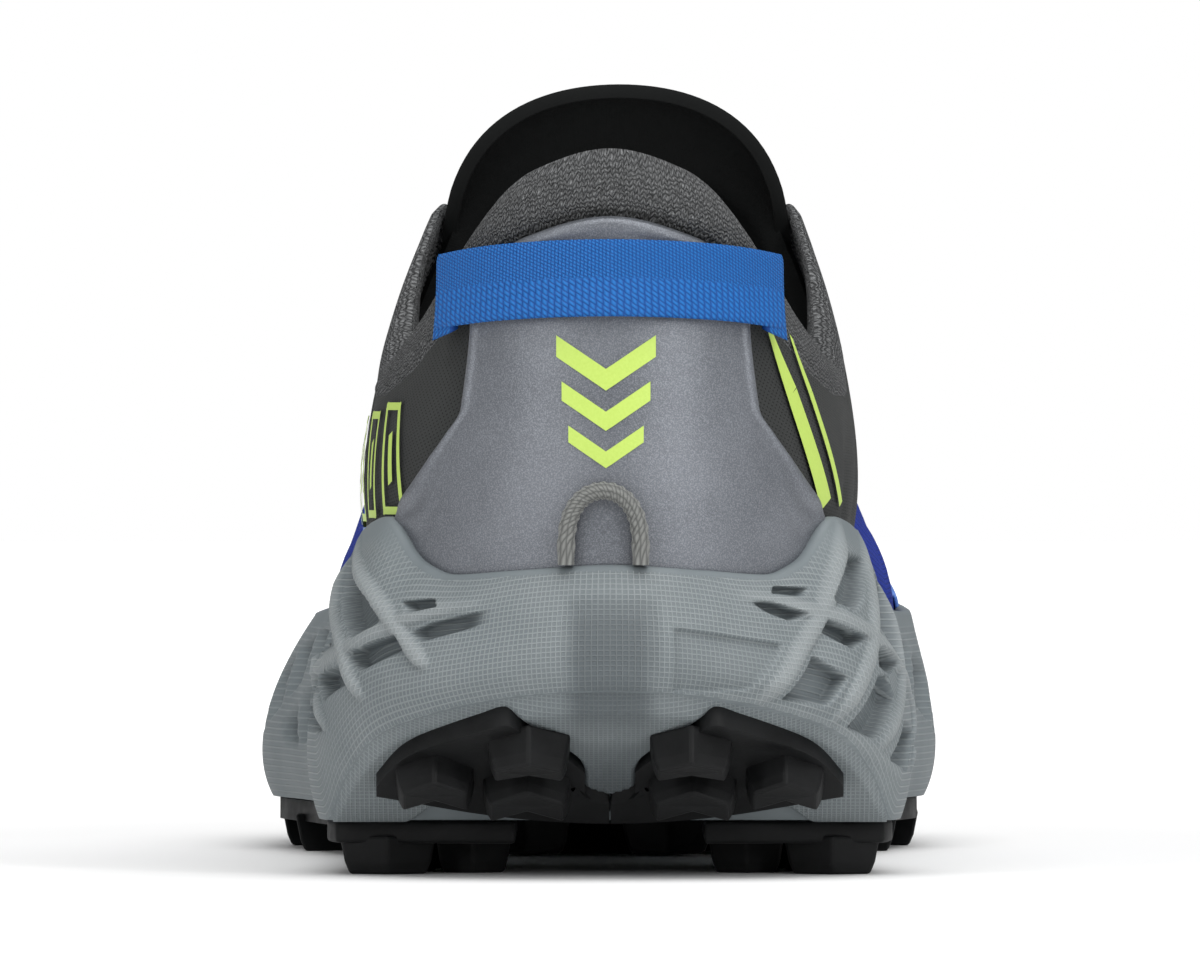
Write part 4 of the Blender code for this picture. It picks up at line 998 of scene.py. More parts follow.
# %% Cells and ribs beside the heel
HEEL_CELLS = {
    -1: [
        (3.2, (0.5, 0.5, 0.6, 2.0, 0.6), (
            (46.6, 37.8), (41.3, 40.2), (44.0, 43.8), (59.0, 52.8), (66.0, 50.2),
        )),
        (3.0, (0.5, 0.5, 2.0, 0.5, 0.5), (
            (46.4, 35.8), (37.0, 38.8), (34.1, 36.1), (42.9, 32.4), (45.6, 33.8),
        )),
        (3.0, (0.5, 0.6, 2.0, 0.6), ((60.4, 31.8), (49.2, 33.5), (45.8, 30.6), (53.8, 27.8))),
        (3.0, (0.5, 0.6, 1.5, 0.6), ((64.0, 35.2), (54.6, 36.6), (68.0, 47.0), (74.0, 43.0))),
        (2.6, (0.5, 0.8, 0.5, 0.5), ((62.0, 29.2), (58.8, 25.6), (68.2, 22.6), (72.5, 27.0))),
        (2.3, (0.4, 0.4, 0.6, 0.4), ((38.9, 43.8), (36.2, 41.9), (29.6, 43.0), (31.8, 44.3))),
        (2.6, (0.4, 0.5, 7.0, 0.5, 0.5), (
            (34.4, 38.9), (31.8, 37.4), (19.0, 40.4), (19.0, 43.0), (31.4, 40.4),
        )),
    ],
    1: [
        (3.2, (0.5, 2.5, 0.8, 0.8, 0.5, 0.4), (
            (40.8, 44.0), (48.1, 51.8), (52.0, 51.4), (54.8, 50.0), (48.2, 43.8), (45.3, 42.3),
        )),
        (3.2, (0.4, 0.4, 0.4, 0.4), ((38.4, 41.0), (46.3, 38.0), (42.6, 36.2), (36.5, 39.1))),
        (2.8, (0.5, 0.8, 2.2, 0.5), ((33.7, 35.4), (40.7, 31.8), (36.1, 26.8), (26.8, 28.0))),
        (3.0, (0.4, 0.5, 0.4, 0.5), ((49.6, 36.7), (57.9, 33.9), (52.4, 32.0), (48.6, 33.4))),
        (3.0, (0.5, 0.6, 0.8, 1.6, 0.5), (
            (48.2, 32.1), (51.4, 31.9), (53.8, 28.0), (48.1, 21.4), (41.3, 23.8),
        )),
        (3.0, (0.5, 0.6, 1.4, 0.6), ((51.4, 39.8), (60.8, 34.6), (70.5, 45.4), (62.5, 49.0))),
        (2.8, (0.5, 0.6, 0.8, 0.5), ((58.3, 24.6), (67.0, 22.6), (60.2, 16.4), (52.2, 18.4))),
        (3.0, (0.6, 0.6, 1.0, 0.6), ((65.0, 32.0), (75.0, 28.0), (84.0, 38.6), (74.0, 43.6))),
        (2.2, (0.4, 0.5, 0.4, 0.5), ((30.4, 46.3), (38.0, 45.9), (35.9, 44.4), (28.8, 45.0))),
        (2.6, (0.5, 0.5, 0.5, 0.5, 2.0), (
            (23.0, 44.1), (28.0, 43.9), (35.3, 41.9), (31.3, 40.6), (25.6, 42.2),
        )),
        (0.9, (0.8, 0.8, 0.8, 1.2), ((9.6, 40.2), (28.8, 37.3), (22.1, 29.8), (9.6, 29.3))),
    ],
}
HEEL_RIBS = {
    -1: [
        (1.2, 1.35, (
            (61, 54), (50.9, 48.7), (45.6, 45.7), (41.7, 43),
            (39, 40.8), (36.2, 38.6), (31.2, 35.1), (29, 33.5),
        )),
        (1.2, 1.3, (
            (70, 51), (64, 46.4), (57.9, 42), (52, 39.1),
            (48.9, 36.6), (46.2, 32.6), (44.3, 30.5), (42, 28.2),
        )),
        (1.1, 1.3, ((76, 44), (69, 37), (63.4, 31.8), (59.4, 28.3), (55.5, 25.9), (52, 23))),
        (0.8, 1.5, (
            (22, 43.6), (31.3, 42.5), (36.1, 41.2), (40.6, 39.4),
            (45.6, 37.1), (52, 35.2), (62, 33), (74, 30),
        )),
    ],
    1: [
        (0.9, 1.6, (
            (50.5, 57), (46.1, 50.8), (43, 47.3), (40.4, 44.3),
            (37.6, 41.6), (30.9, 35.9), (25.6, 30.1), (23, 27),
        )),
        (1.0, 1.5, (
            (61, 54.5), (55.5, 49.7), (52.9, 45.6), (50.3, 41.6), (46.4, 35.2), (41.2, 28.5), (37.6, 24.2),
        )),
        (0.9, 1.4, (
            (74, 48), (67, 41.5), (62, 35.6), (58.8, 30.8), (55.4, 26.9), (51.9, 23.4), (48.6, 19.8),
        )),
        (1.0, 1.5, ((86, 42), (80, 35), (74, 28.5), (70, 23), (66, 16))),
        (0.9, 1.6, (
            (21.8, 44.9), (31.9, 43.4), (37.9, 42), (42, 41.2),
            (47.1, 38.9), (54.2, 35.6), (62, 31.6), (72, 25.6),
        )),
        (0.3, 1.2, ((14.2, 29.2), (24.8, 27.4), (31.9, 25.6), (40.1, 23.2), (49.2, 19.4), (59.3, 14.6))),
    ],
}
for side, first in ((-1, 2), (1, 3)):
    HEEL_CELLS[side] += regular_cells(side, first)
    print("side", side, "has", len(HEEL_CELLS[side]), "cells")


def with_edges(cell):
    """A cell as its depth, its reach round the heel, and for each edge a point, the way in, and the slope."""
    depth, slopes, corners = cell
    middle = [sum(axis) / len(corners) for axis in zip(*corners)]
    edges = []
    for k, (s0, z0) in enumerate(corners):
        s1, z1 = corners[(k + 1) % len(corners)]
        way = Vector((z0 - z1, s1 - s0)).normalized()
        if way.dot(Vector((middle[0] - s0, middle[1] - z0))) < 0:
            way = -way
        edges.append((s0, z0, way.x, way.y, slopes[min(k, len(slopes) - 1)]))
    return depth, min(corner[0] for corner in corners), max(corner[0] for corner in corners), edges


CELLS = {side: [with_edges(cell) for cell in cells] for side, cells in HEEL_CELLS.items()}


def cell_share(edges, s, z):
    """0 outside a cell, 1 on its floor."""
    share = 1.0
    for s0, z0, way_s, way_z, slope in edges:
        away = (s - s0) * way_s + (z - z0) * way_z
        if away <= 0:
            return 0.0
        if away < slope:
            share *= ease(away, 0, slope)
    return share


def rib_share(points, half, s, z):
    """1 on the crest of a rib, 0 beside it and past its ends."""
    best = 0.0
    last = len(points) - 2
    for k in range(last + 1):
        (s0, z0), (s1, z1) = points[k], points[k + 1]
        along, up = s1 - s0, z1 - z0
        part = ((s - s0) * along + (z - z0) * up) / (along * along + up * up)
        if (part < 0 and k == 0) or (part > 1 and k == last):
            continue
        part = min(max(part, 0.0), 1.0)
        ending = (1 - part) ** 0.6 if k == last else part**0.6 if k == 0 else 1.0
        away = math.hypot(s - s0 - along * part, z - z0 - up * part) / (half * (0.35 + 0.65 * ending))
        if away < 1:
            best = max(best, (1 - away * away) ** 0.6 * ending)
    return best


# %% The foam's relief
NOTCH_HALF, NOTCH_DEPTH = 0.0068, 0.0010


def heel_swell(s, up):
    """The soft hollow between the two bands that sweep round the heel."""
    across = ease(s, 8, 20) * (1 - ease(s, 30, 50))
    hollow = 0.0007 * math.exp(-(((up - 0.58) / 0.14) ** 2))
    band = 0.0005 * math.exp(-(((up - 0.2) / 0.13) ** 2))
    return across * (hollow - band)


def foam_relief(side, s, z, up, cells):
    """How far the foam lies below its plain wall, and its painted shade, less a painted highlight on rib
    crests.
    """
    cell_share_and_painted_light, deepest = 0.0, 0.0
    for depth, low, high, edges in cells:
        share = cell_share(edges, s, z)
        if share * depth > deepest:
            cell_share_and_painted_light, deepest = share, share * depth
    proud = 0.0
    if s < 90:
        for height, half, points in HEEL_RIBS[side]:
            proud = max(proud, height * rib_share(points, half, s, z))
    panel = 1 - ease(s, NOTCH_HALF * 1000 - 0.6, NOTCH_HALF * 1000 + 1.8)
    notch = NOTCH_DEPTH * panel * (1 - ease(z, 42.0, 45.5)) * ease(up, 0.0, 0.3)
    # Painted shade: cell floors are darker, their slopes darker still, and the heel's middle panel below 40
    # mm is darker.
    ring = 2.3 - 1.7 * ease(s, 60, 95)
    shade = (0.42 * cell_share_and_painted_light + ring * cell_share_and_painted_light * (1 - cell_share_and_painted_light)) * min(deepest, 2.5) / 2.5
    painted_recess_shade = 0.80 * (1 - ease(s, 4.4, 8.8)) * (1 - ease(z, 40.0, 46.0))
    # Painted highlight: the crests of the ribs are lighter.
    crest = 0.42 * min(proud, 1.0) * (1 - cell_share_and_painted_light)
    return (deepest - proud * (1 - cell_share_and_painted_light)) / 1000 + notch + heel_swell(s, up), max(shade, painted_recess_shade) - crest


# %% [markdown]
# The grid that shows on the heel isn't drawn, it is counted. The UV map holds squares, not metres: one step
# of U or V is one moulded square. In the middle panel a square is 1.0 mm, beside it 0.72 mm. Three values
# on the corners say where there are squares, where there are lines at all, and how much painted shade the
# colour gets in the cells and the heel's middle panel, with a painted highlight on the rib crests.

# %% Midsole
PANEL_SQUARE, SIDE_SQUARE = 0.00100, 0.00074
RIM_ROLL = 0.0009
WALL_ROWS, ROLL_ROWS, INNER_ROWS = 104, 5, 3
WALL_KEYS = (
    keys_between(0.0, 0.050, 40)
    + keys_between(0.050, 0.180, 168)[1:]
    + keys_between(0.180, 0.240, 42)[1:]
    + keys_between(0.240, 1.0, 150)[1:]
)


def make_midsole():
    count = len(WALL_KEYS) - 1
    stations = [(-1, n) for n in range(count, -1, -1)] + [(1, n) for n in range(1, count + 1)]
    points, painted_light_marks, flows = {}, {}, {}
    for side in SIDES:
        for n, t in enumerate(WALL_KEYS):
            s = t * SIDE_LENGTH * 1000
            near = [cell for cell in CELLS[side] if cell[1] < s < cell[2]]
            reach, lift = wall_curve(side, t)
            base, out = Vector((*in_plan(side, t, 0), 0)), Vector((*in_plan(side, t, 1), 0))
            tall = lift[3] - lift[0]
            top = 1 - RIM_ROLL / (1.14 * tall)
            lines = tall / (0.00080 + 0.00026 * ease(t, 0.05, 0.13))
            for j in range(WALL_ROWS + 1):
                up = j / WALL_ROWS
                z = bezier(lift, up * top)
                # foam_relief gives the depth, and the painted light for the colour: shade in the cells, a
                # highlight on rib crests.
                depth, cell_share_and_painted_light = foam_relief(side, s, z * 1000, up, near)
                spot = base + (out - base) * (bezier(reach, up * top) - depth / local_width(t))
                points[side, n, j] = Vector((spot.x, spot.y, z))
                painted_light_marks[side, n, j] = cell_share_and_painted_light
                flows[side, n, j] = lines * (z - lift[0]) / tall

    def squares(i, j):
        side, n = stations[i]
        round_heel = WALL_KEYS[n] * SIDE_LENGTH
        beside = max(round_heel - NOTCH_HALF, 0) / SIDE_SQUARE
        return side * (min(round_heel, NOTCH_HALF) / PANEL_SQUARE + beside) + 1000, flows[side, n, j]

    def checked(i, j):
        side, n = stations[i]
        at_heel = 1 - ease(WALL_KEYS[n] * SIDE_LENGTH, 0.044, 0.062)
        return at_heel * (1 - ease(painted_light_marks[side, n, j], 0.1, 0.3) * (n > 40))

    def lined(i, j):
        side, n = stations[i]
        t = WALL_KEYS[n]
        peak = ease(t, 0.10, 0.13) * ease(j / WALL_ROWS, 0.90, 0.97)
        forward = 0.40 * ease(t, 0.22, 0.35)
        return 1 - max(peak, forward) * (1 - painted_light_marks[side, n, j])

    bm = bmesh.new()
    marks = {"squares": checked, "lined": lined, "cell_share_and_painted_light": lambda i, j: painted_light_marks[(*stations[i], j)]}
    lay_grid(bm, 2 * count, WALL_ROWS, lambda i, j: points[(*stations[i], j)], squares, marks=marks)

    def cup(i, j):
        """Over the rolled rim and down the inside to the footbed."""
        side, n = stations[i]
        outside = points[side, n, WALL_ROWS]
        inside = sole_inner(side, WALL_KEYS[n], outside.z)
        if j <= ROLL_ROWS:
            turn = math.pi * j / ROLL_ROWS
            middle, half = (outside + inside) / 2, (outside - inside) / 2
            return middle + half * math.cos(turn) + Vector((0, 0, RIM_ROLL * math.sin(turn)))
        bed = footbed(side, WALL_KEYS[n])
        if j == ROLL_ROWS + INNER_ROWS:
            return bed
        return sole_inner(side, WALL_KEYS[n], outside.z + (bed.z - outside.z) * (j - ROLL_ROWS) / INNER_ROWS)

    def bed_place(i, j):
        return footbed(SIDES[i], WALL_KEYS[j])

    flat = {"squares": lambda i, j: 0, "lined": lambda i, j: 0, "cell_share_and_painted_light": lambda i, j: 0}
    lay_grid(bm, 2 * count, ROLL_ROWS + INNER_ROWS, cup, lambda i, j: (0.5, 0.5), marks=flat)
    lay_grid(bm, 1, count, lambda i, j: points[SIDES[i], j, 0], lambda i, j: (0.5, 0.5), marks=flat)
    lay_grid(bm, 1, count, bed_place, lambda i, j: (0.5, 0.5), marks=flat)
    weld(bm)
    return piece("foam_midsole", bm, [foam], ["midsole"])


midsole = make_midsole()

# %% [markdown]
# Under the heel the foam goes on round the two leaves of rubber, as a frame above them, a keel between them
# and a strip below. It is one thin sheet against the bevel. Only the keel is nearly as thick as the rubber.

# %% Foam round the rear leaves
SKIRT_HALF = 0.0440
SKIRT_DEEP, KEEL_DEEP = 0.0008, RUBBER - 0.0006
KEEL_EDGE = Table(
    "half",
    [
        (0.0000, 0.0200),
        (0.0195, 0.0156),
        (0.0370, 0.0113),
        (0.0560, 0.0070),
        (0.0735, 0.0044),
        (0.0850, 0.0042),
        (0.0920, 0.0000),
    ],
)


@functools.lru_cache(maxsize=None)
def back_edge(x):
    """How far forward the midsole's lower edge lies at a distance x from the heel's axis."""
    side, low, high = (-1 if x < 0 else 1), 0.0, 0.2
    for _ in range(20):
        t = (low + high) / 2
        if abs(sole_edge(side, t, 0)[0]) < abs(x):
            low = t
        else:
            high = t
    return sole_edge(side, low, 0)[1]


def make_heel_frame():
    across, along = 240, 84

    def place(i, j):
        x = SKIRT_HALF * (2 * i / across - 1)
        back = back_edge(round(x, 7)) - 0.0002
        front = LENGTH * (0.104 + 0.024 * ease(abs(x), 0.028, 0.036))
        y = back + (front - back) * (j / along) ** 1.5
        lip = ease(y - back, 0.0, 0.0045)
        keel = ease(KEEL_EDGE.at("half", y / LENGTH) + 0.0008 - abs(x), 0.0, 0.0016) * ease(y, 0.0, 0.016)
        deep = SKIRT_DEEP + (KEEL_DEEP - SKIRT_DEEP) * keel
        below = deep * lip * (1 - ease(y, 0.098 * LENGTH, 0.120 * LENGTH))
        return on_underside(x, y, below - 0.0003 * (1 - lip))

    def squares(i, j):
        spot = place(i, j)
        return spot.x / SIDE_SQUARE + 500.5, spot.y * 1.25 / SIDE_SQUARE + 500

    bm = bmesh.new()

    # Painted shade: the middle panel at the back of the heel and the keel between the rubber leaves are
    # darkened.
    def painted_recess_shade(i, j):
        spot = place(i, j)
        panel = 0.80 * (1 - ease(abs(spot.x), 0.0044, 0.0088)) * (1 - ease(spot.y, 0.004, 0.013))
        return max(panel, 0.85 * ease(spot.y, 0.010, 0.024) * (1 - ease(abs(spot.x), 0.006, 0.010)))

    marks = {"squares": lambda i, j: 1, "lined": lambda i, j: 0.8, "cell_share_and_painted_light": painted_recess_shade}
    lay_grid(bm, across, along, place, squares, marks=marks)
    face_away(bm, Vector((0, 0.03, 0.08)))
    made = piece("foam_heel_frame", bm, [foam])
    give_wall(made, 0.0010)
    return made


make_heel_frame()

# %% [markdown]
# The outsole is moulded rubber. A pad is a sheet laid against the underside, and its lugs are chevrons with
# a ridge down the middle. Lugs are repeated, so each has only a few faces, and a Bevel modifier rounds
# them.

# %% Outsole
CHEVRON = 0.0145, 0.0105
LUG_RINGS = ((RUBBER - 0.0012, 1.06), (RUBBER + 0.6 * LUG_HEIGHT, 0.95), (RUBBER + LUG_HEIGHT, 0.84))
FOREFOOT_START = 0.40


def add_lug(bm, x, y, wide, deep, way):
    """One chevron block, drawn in at its foot, with a step along its back."""
    outline = ((-0.5, -0.5), (0, -0.12), (0.5, -0.5), (0.5, 0.08), (0, 0.5), (-0.5, 0.08))
    flat = on_underside(x, y)
    rings = []
    for below, scale in LUG_RINGS:
        tilt = on_underside(x, y, below) - flat
        forward = Vector((0, tilt.z, -tilt.y)).normalized() * -1
        ring = []
        for a, b in outline:
            corner = flat + tilt + Vector((a * wide * scale, 0, 0)) + forward * (b * deep * scale * way)
            if a == 0 and below > RUBBER:
                corner = corner + (tilt.normalized() * 0.0003)
            corner.z = max(corner.z, 0.0)
            ring.append(corner)
        rings.append(ring)
    lay_grid(bm, 6, 2, lambda i, j: rings[j][i % 6])
    close_ends(bm, (rings[0], rings[-1]))


def make_pad(node, across, along, outline, lugs):
    bm = bmesh.new()
    lay_grid(bm, across, along, lambda i, j: on_underside(*outline(i / across, j / along)))
    weld(bm)
    face_away(bm, INSIDE + Vector((0, 0, -1)))
    pad = piece(node + "_pad", bm, [rubber], [node])
    give_wall(pad, RUBBER, 0.0006)
    bm = bmesh.new()
    for lug in lugs:
        add_lug(bm, *lug)
    weld(bm, 0.00001)
    blocks = piece(node + "_lugs", bm, [rubber], soft=False)
    bevel = blocks.modifiers.new("rounded", "BEVEL")
    bevel.width = 0.0005
    bevel.segments = 2
    bevel.angle_limit = math.radians(20)
    return pad, blocks


def forefoot_outline(a, b):
    t = FOREFOOT_START + (1 - FOREFOOT_START) * b
    left, right = sole_edge(-1, t, 0.0012), sole_edge(1, t, 0.0012)
    arc = 1 - (2 * a - 1) ** 2
    return left[0] + (right[0] - left[0]) * a, left[1] + (right[1] - left[1]) * a + 0.016 * arc * (1 - b) ** 3


def forefoot_lugs():
    lugs = []
    for row in range(9):
        y = (0.485 + 0.056 * row) * LENGTH
        t = next(k / 500 for k in range(200, 500) if sole_edge(1, k / 500, 0)[1] >= y or k == 499)
        left, right = sole_edge(-1, t, 0)[0], sole_edge(1, t, 0)[0]
        middle, half = (left + right) / 2, (right - left) / 2 - 0.0085
        count = 4 if row % 2 == 0 else 3
        if row >= 7:
            count = 3 if row == 7 else 2
            half -= 0.003 * (row - 6)
        for k in range(count):
            x = middle + (2 * k / (count - 1) - 1) * (half if row % 2 == 0 or row >= 7 else half * 0.68)
            lugs.append((x, y, *CHEVRON, 1))
    return lugs


def make_heel_pad(side):
    start, end, inner = 0.121 * LENGTH, 0.325 * LENGTH, 0.155 * HEEL_WIDTH

    def outline(a, b):
        edge = sole_edge(side, 0.150 + 0.150 * b, 0.0012)
        x = side * inner + (edge[0] - side * inner) * a
        return x, start + (end - start) * b + 0.006 * a * (1 - b) - 0.004 * a * b

    lugs = []
    for k in range(4):
        y = start + 0.0085 + 0.0158 * k
        lugs.append((side * (0.365 - 0.012 * k) * HEEL_WIDTH, y, 0.0145, 0.0105, -1))
        if k < 3:
            lugs.append((side * 0.225 * HEEL_WIDTH, y + 0.0079, 0.0115, 0.0095, -1))
    return make_pad("outsole_heel_lateral" if side < 0 else "outsole_heel_medial", 12, 24, outline, lugs)


LOBE = Table(
    "back",
    [
        (0.000, 0.0735),
        (0.125, 0.0560),
        (0.250, 0.0370),
        (0.375, 0.0195),
        (0.500, 0.0262),
        (0.625, 0.0350),
        (0.750, 0.0465),
        (0.875, 0.0620),
        (1.000, 0.0832),
    ],
)


def make_rear_lobe(side):
    """A leaf of rubber. Below the keel the two leaves run together."""
    inner, outer = 0.040 * HEEL_WIDTH, 0.381 * HEEL_WIDTH

    def outline(a, b):
        back, front = LENGTH * LOBE.at("back", a), LENGTH * (0.106 - 0.016 * a * a)
        near = inner * (1 - ease(b, 0.50, 0.64)) + 0.0001
        return side * (near + (outer - near) * a), back + (front - back) * b

    lugs = [
        (side * 0.132 * HEEL_WIDTH, 0.040 * LENGTH, 0.0125, 0.0100, -1),
        (side * 0.135 * HEEL_WIDTH, 0.080 * LENGTH, 0.0135, 0.0095, -1),
        (side * 0.285 * HEEL_WIDTH, 0.072 * LENGTH, 0.0120, 0.0095, -1),
    ]
    return make_pad("outsole_rear_lateral" if side < 0 else "outsole_rear_medial", 40, 16, outline, lugs)


make_pad("outsole_forefoot", 24, 60, forefoot_outline, forefoot_lugs())
for side in SIDES:
    make_heel_pad(side)
    make_rear_lobe(side)

# %% [markdown]
# The upper is one wall of cloth. It rises from the foot of the last, closes over the padding at the collar
# with a round edge, and comes down the inside as the lining. The rows of the sheet are shared out so that
# one of them runs along the edge where the knit folds over, which gives that seam a clean line and a small
# step.

# %% Upper
KNIT_FOLD = Table(
    "down",
    [
        (0.0, 0.0103),
        (0.06, 0.0103),
        (0.09, 0.0110),
        (0.13, 0.0115),
        (0.17, 0.0100),
        (0.20, 0.0085),
        (0.25, 0.0060),
        (0.32, 0.0040),
        (0.575, 0.0030),
    ],
)
TOE_FOLDS = ((0.628, 0.05, 0.0010, 0.010), (0.668, 0.03, 0.0008, 0.009), (0.712, 0.00, 0.0005, 0.009))
ANKLE_FOLDS = ((0.175, 0.10, 0.0007, 0.008), (0.215, 0.09, 0.0005, 0.008))
PANEL_EDGE = 0.392  # where the dark quarter ends and the blue forefoot begins
OUT_ROWS, FOLD_ROWS, EDGE_ROWS, IN_ROWS = 30, 12, 7, 26


def padding_share(t, v):
    return ease(v, 0.45, 0.86) * (1 - ease(t, 0.22, 0.30))


def wall_thickness(t, v):
    return UPPER_WALL + (COLLAR_PADDING - UPPER_WALL) * padding_share(t, v)


def vamp_crease(t, v):
    """Soft folds where the forefoot bends, deepest over the toes' joints, and small ones at the ankle."""
    depth = 0.0
    for centre, slope, deep, wide in TOE_FOLDS:
        away = (t - centre - slope * (1 - v)) / wide
        ridges = 0.55 * math.exp(-((abs(away) - 1.7) ** 2))
        depth += deep * (math.exp(-away * away) - ridges) * ease(v, 0.35, 0.75)
    for centre, slope, deep, wide in ANKLE_FOLDS:
        away = (t - centre - slope * (v - 0.4)) / wide
        depth += deep * math.exp(-away * away) * ease(v, 0.22, 0.4) * (1 - ease(v, 0.55, 0.8))
    return depth


def wing(t, v):
    """The padded collar stands higher beside the tongue."""
    return 0.0044 * ease(t, 0.220, 0.290) * (1 - ease(t, 0.300, 0.375)) * ease(v, 0.45, 1.0)


def edge_round(t):
    """How far from the edge the wall starts to round over."""
    padded = 1 - ease(t, 0.22, 0.30)
    return (0.0016 + 0.0044 * padded) * (1 - ease(t, 0.558, THROAT_END))


@functools.lru_cache(maxsize=None)
def upper_rows(side, t):
    """(v, how far rounded over) from the foot of the wall to its edge."""
    fold = down_from_edge(side, t, KNIT_FOLD.at("down", t))
    turn = down_from_edge(side, t, edge_round(t)) if t < THROAT_END else 1.0
    rows = [(fold * j / OUT_ROWS, 0.0) for j in range(OUT_ROWS)]
    rows += [(fold + (turn - fold) * j / FOLD_ROWS, 0.0) for j in range(FOLD_ROWS)]
    for j in range(EDGE_ROWS + 1):
        angle = math.pi / 2 * j / EDGE_ROWS
        rows.append((turn + (1 - turn) * math.sin(angle), 1 - math.cos(angle)))
    return rows


def knit_step(side, t, v):
    """The groove at the film's upper edge, and the fold standing proud above it."""
    fold = down_from_edge(side, t, KNIT_FOLD.at("down", t))
    reach = (v - fold) / max(1 - fold, 0.01)
    proud = 0.0007 * ease(reach, 0.0, 0.22) * (1 - ease(reach, 0.7, 1.0)) * (1 - ease(t, 0.24, 0.31))
    groove = 0.0014 * math.exp(-((reach / 0.16) ** 2)) * (1 - ease(t, 0.085, 0.12))
    return proud - groove


def upper_outside(side, t, j):
    v, rounded = upper_rows(side, t)[j]
    raised = wing(t, v)
    off = knit_step(side, t, v) - vamp_crease(t, v) - rounded * wall_thickness(t, v) / 2 + 0.25 * raised
    return off_upper(side, t, v, off) + Vector((0, 0, GAP + raised))


def upper_inside(side, t, j):
    """The lining, from the edge (j = 0) down to the foot of the wall."""
    rows = upper_rows(side, t)
    if j <= EDGE_ROWS:
        v, rounded = rows[len(rows) - 1 - j]
    else:
        v, rounded = rows[len(rows) - 1 - EDGE_ROWS][0] * (1 - (j - EDGE_ROWS) / IN_ROWS), 0.0
    thick = wall_thickness(t, v) * (1 - rounded / 2)
    fold = 0.0004 * math.sin(t * 190) * padding_share(t, v) * (1 - ease(v, 0.8, 1.0))
    raised = wing(t, v)
    return off_upper(side, t, v, 0.25 * raised - thick - fold) + Vector((0, 0, GAP + raised))


def around(keys):
    return [(-1, t) for t in reversed(keys)] + [(1, t) for t in keys[1:]]


UPPER_KEYS = (
    keys_between(0.0, 0.30, 66)
    + keys_between(0.30, 0.55, 34)[1:]
    + keys_between(0.55, THROAT_END, 8)[1:]
    + keys_between(THROAT_END, 1.0, 64)[1:]
)


def make_upper():
    stations = around(UPPER_KEYS)
    outer = OUT_ROWS + FOLD_ROWS + EDGE_ROWS
    rows = outer + EDGE_ROWS + IN_ROWS

    def place(i, j):
        side, t = stations[i]
        return upper_outside(side, t, j) if j <= outer else upper_inside(side, t, j - outer)

    def uv(i, j):
        side, t = stations[i]
        around_last = side * t * SIDE_LENGTH
        v = upper_rows(side, t)[j][0] if j <= outer else 1 + (j - outer) / (rows - outer)
        return around_last, v * 0.075

    def cloth(i, j):
        if min(stations[i][1], stations[i + 1][1]) >= THROAT_END and -EDGE_ROWS <= j - outer < EDGE_ROWS:
            return 3  # the two sides meet here, and no edge is left
        if j >= OUT_ROWS and min(stations[i][1], stations[i + 1][1]) < 0.318:
            return 1
        if j >= outer:
            return 1
        return 2 if stations[i][1] > PANEL_EDGE - 0.001 and stations[i + 1][1] > PANEL_EDGE - 0.001 else 0

    bm = bmesh.new()
    lay_grid(bm, len(stations) - 1, rows, place, uv, cloth)
    bm.normal_update()
    closed = [face for face in bm.faces if face.material_index == 3 or face.calc_area() < 1e-12]
    bmesh.ops.delete(bm, geom=closed, context="FACES")
    bmesh.ops.remove_doubles(bm, verts=bm.verts, dist=0.00002)
    face_away(bm, INSIDE)
    return piece("cloth_upper", bm, [quarter_mesh, lining, vamp_mesh], ["upper"])


upper = make_upper()

# %% [markdown]
# The heel is covered by a thin moulded film, wide at the midsole and waisted above it. Its outline is a
# table of how far round the heel it reaches at each height. The sheet is stretched between its own edges,
# so the edge is as smooth as the table, and it swells a little just inside the edge, as a pressed film
# does.

# %% Film over the heel
COUNTER = Table(
    "reach",
    [
        (0.24, 0.1280),
        (0.27, 0.1250),
        (0.31, 0.1165),
        (0.36, 0.1035),
        (0.41, 0.0915),
        (0.46, 0.0815),
        (0.62, 0.0795),
        (0.76, 0.0870),
        (1.00, 0.1000),
    ],
)
COUNTER_TOP = 0.0097
FILM_OFF = COUNTER_GAP + OVERLAY_WALL


def above_rim(side, t):
    return upper_at_height(side, t, rim_height(t) - 0.0006)


@functools.lru_cache(maxsize=None)
def film_reach(side, r):
    """How far round the film goes in the row at a share r of its height."""
    t = 0.1
    for _ in range(14):
        v = above_rim(side, t) + (down_from_edge(side, t, COUNTER_TOP) - above_rim(side, t)) * r
        x, y, z = upper_point(side, t, v)
        t = 0.5 * (t + COUNTER.at("reach", (z - bed_height(y)) / COLLAR_HEIGHT))
    return t


def film_point(i, j, across, rows):
    side = -1 if i < across / 2 else 1
    part = abs(2 * i / across - 1)
    r = j / rows
    t = film_reach(side, r) * part
    v = above_rim(side, t) + (down_from_edge(side, t, COUNTER_TOP) - above_rim(side, t)) * r
    from_edge = min((1 - part) * film_reach(side, r) * SIDE_LENGTH, (1 - r) * 0.055)
    swell = 0.00035 * math.exp(-(((from_edge - 0.0016) / 0.0009) ** 2))
    lip = 0.0006 * (1 - ease(from_edge, 0.0, 0.0007))
    wrinkle = 0.00014 * math.sin(420 * t * (1 + r)) * ease(part, 0.72, 0.95) * (1 - ease(r, 0.15, 0.42))
    return off_upper(side, t, v, FILM_OFF + swell - lip + wrinkle)


def make_heel_film():
    across, rows = 120, 84
    bm = bmesh.new()
    lay_grid(
        bm, across, rows, lambda i, j: film_point(i, j, across, rows), lambda i, j: (i / across, j / rows)
    )
    face_away(bm, INSIDE)
    made = piece("film_heel", bm, [heel_film], ["heel_counter"])
    give_wall(made, 0.0005)
    return made


film = make_heel_film()

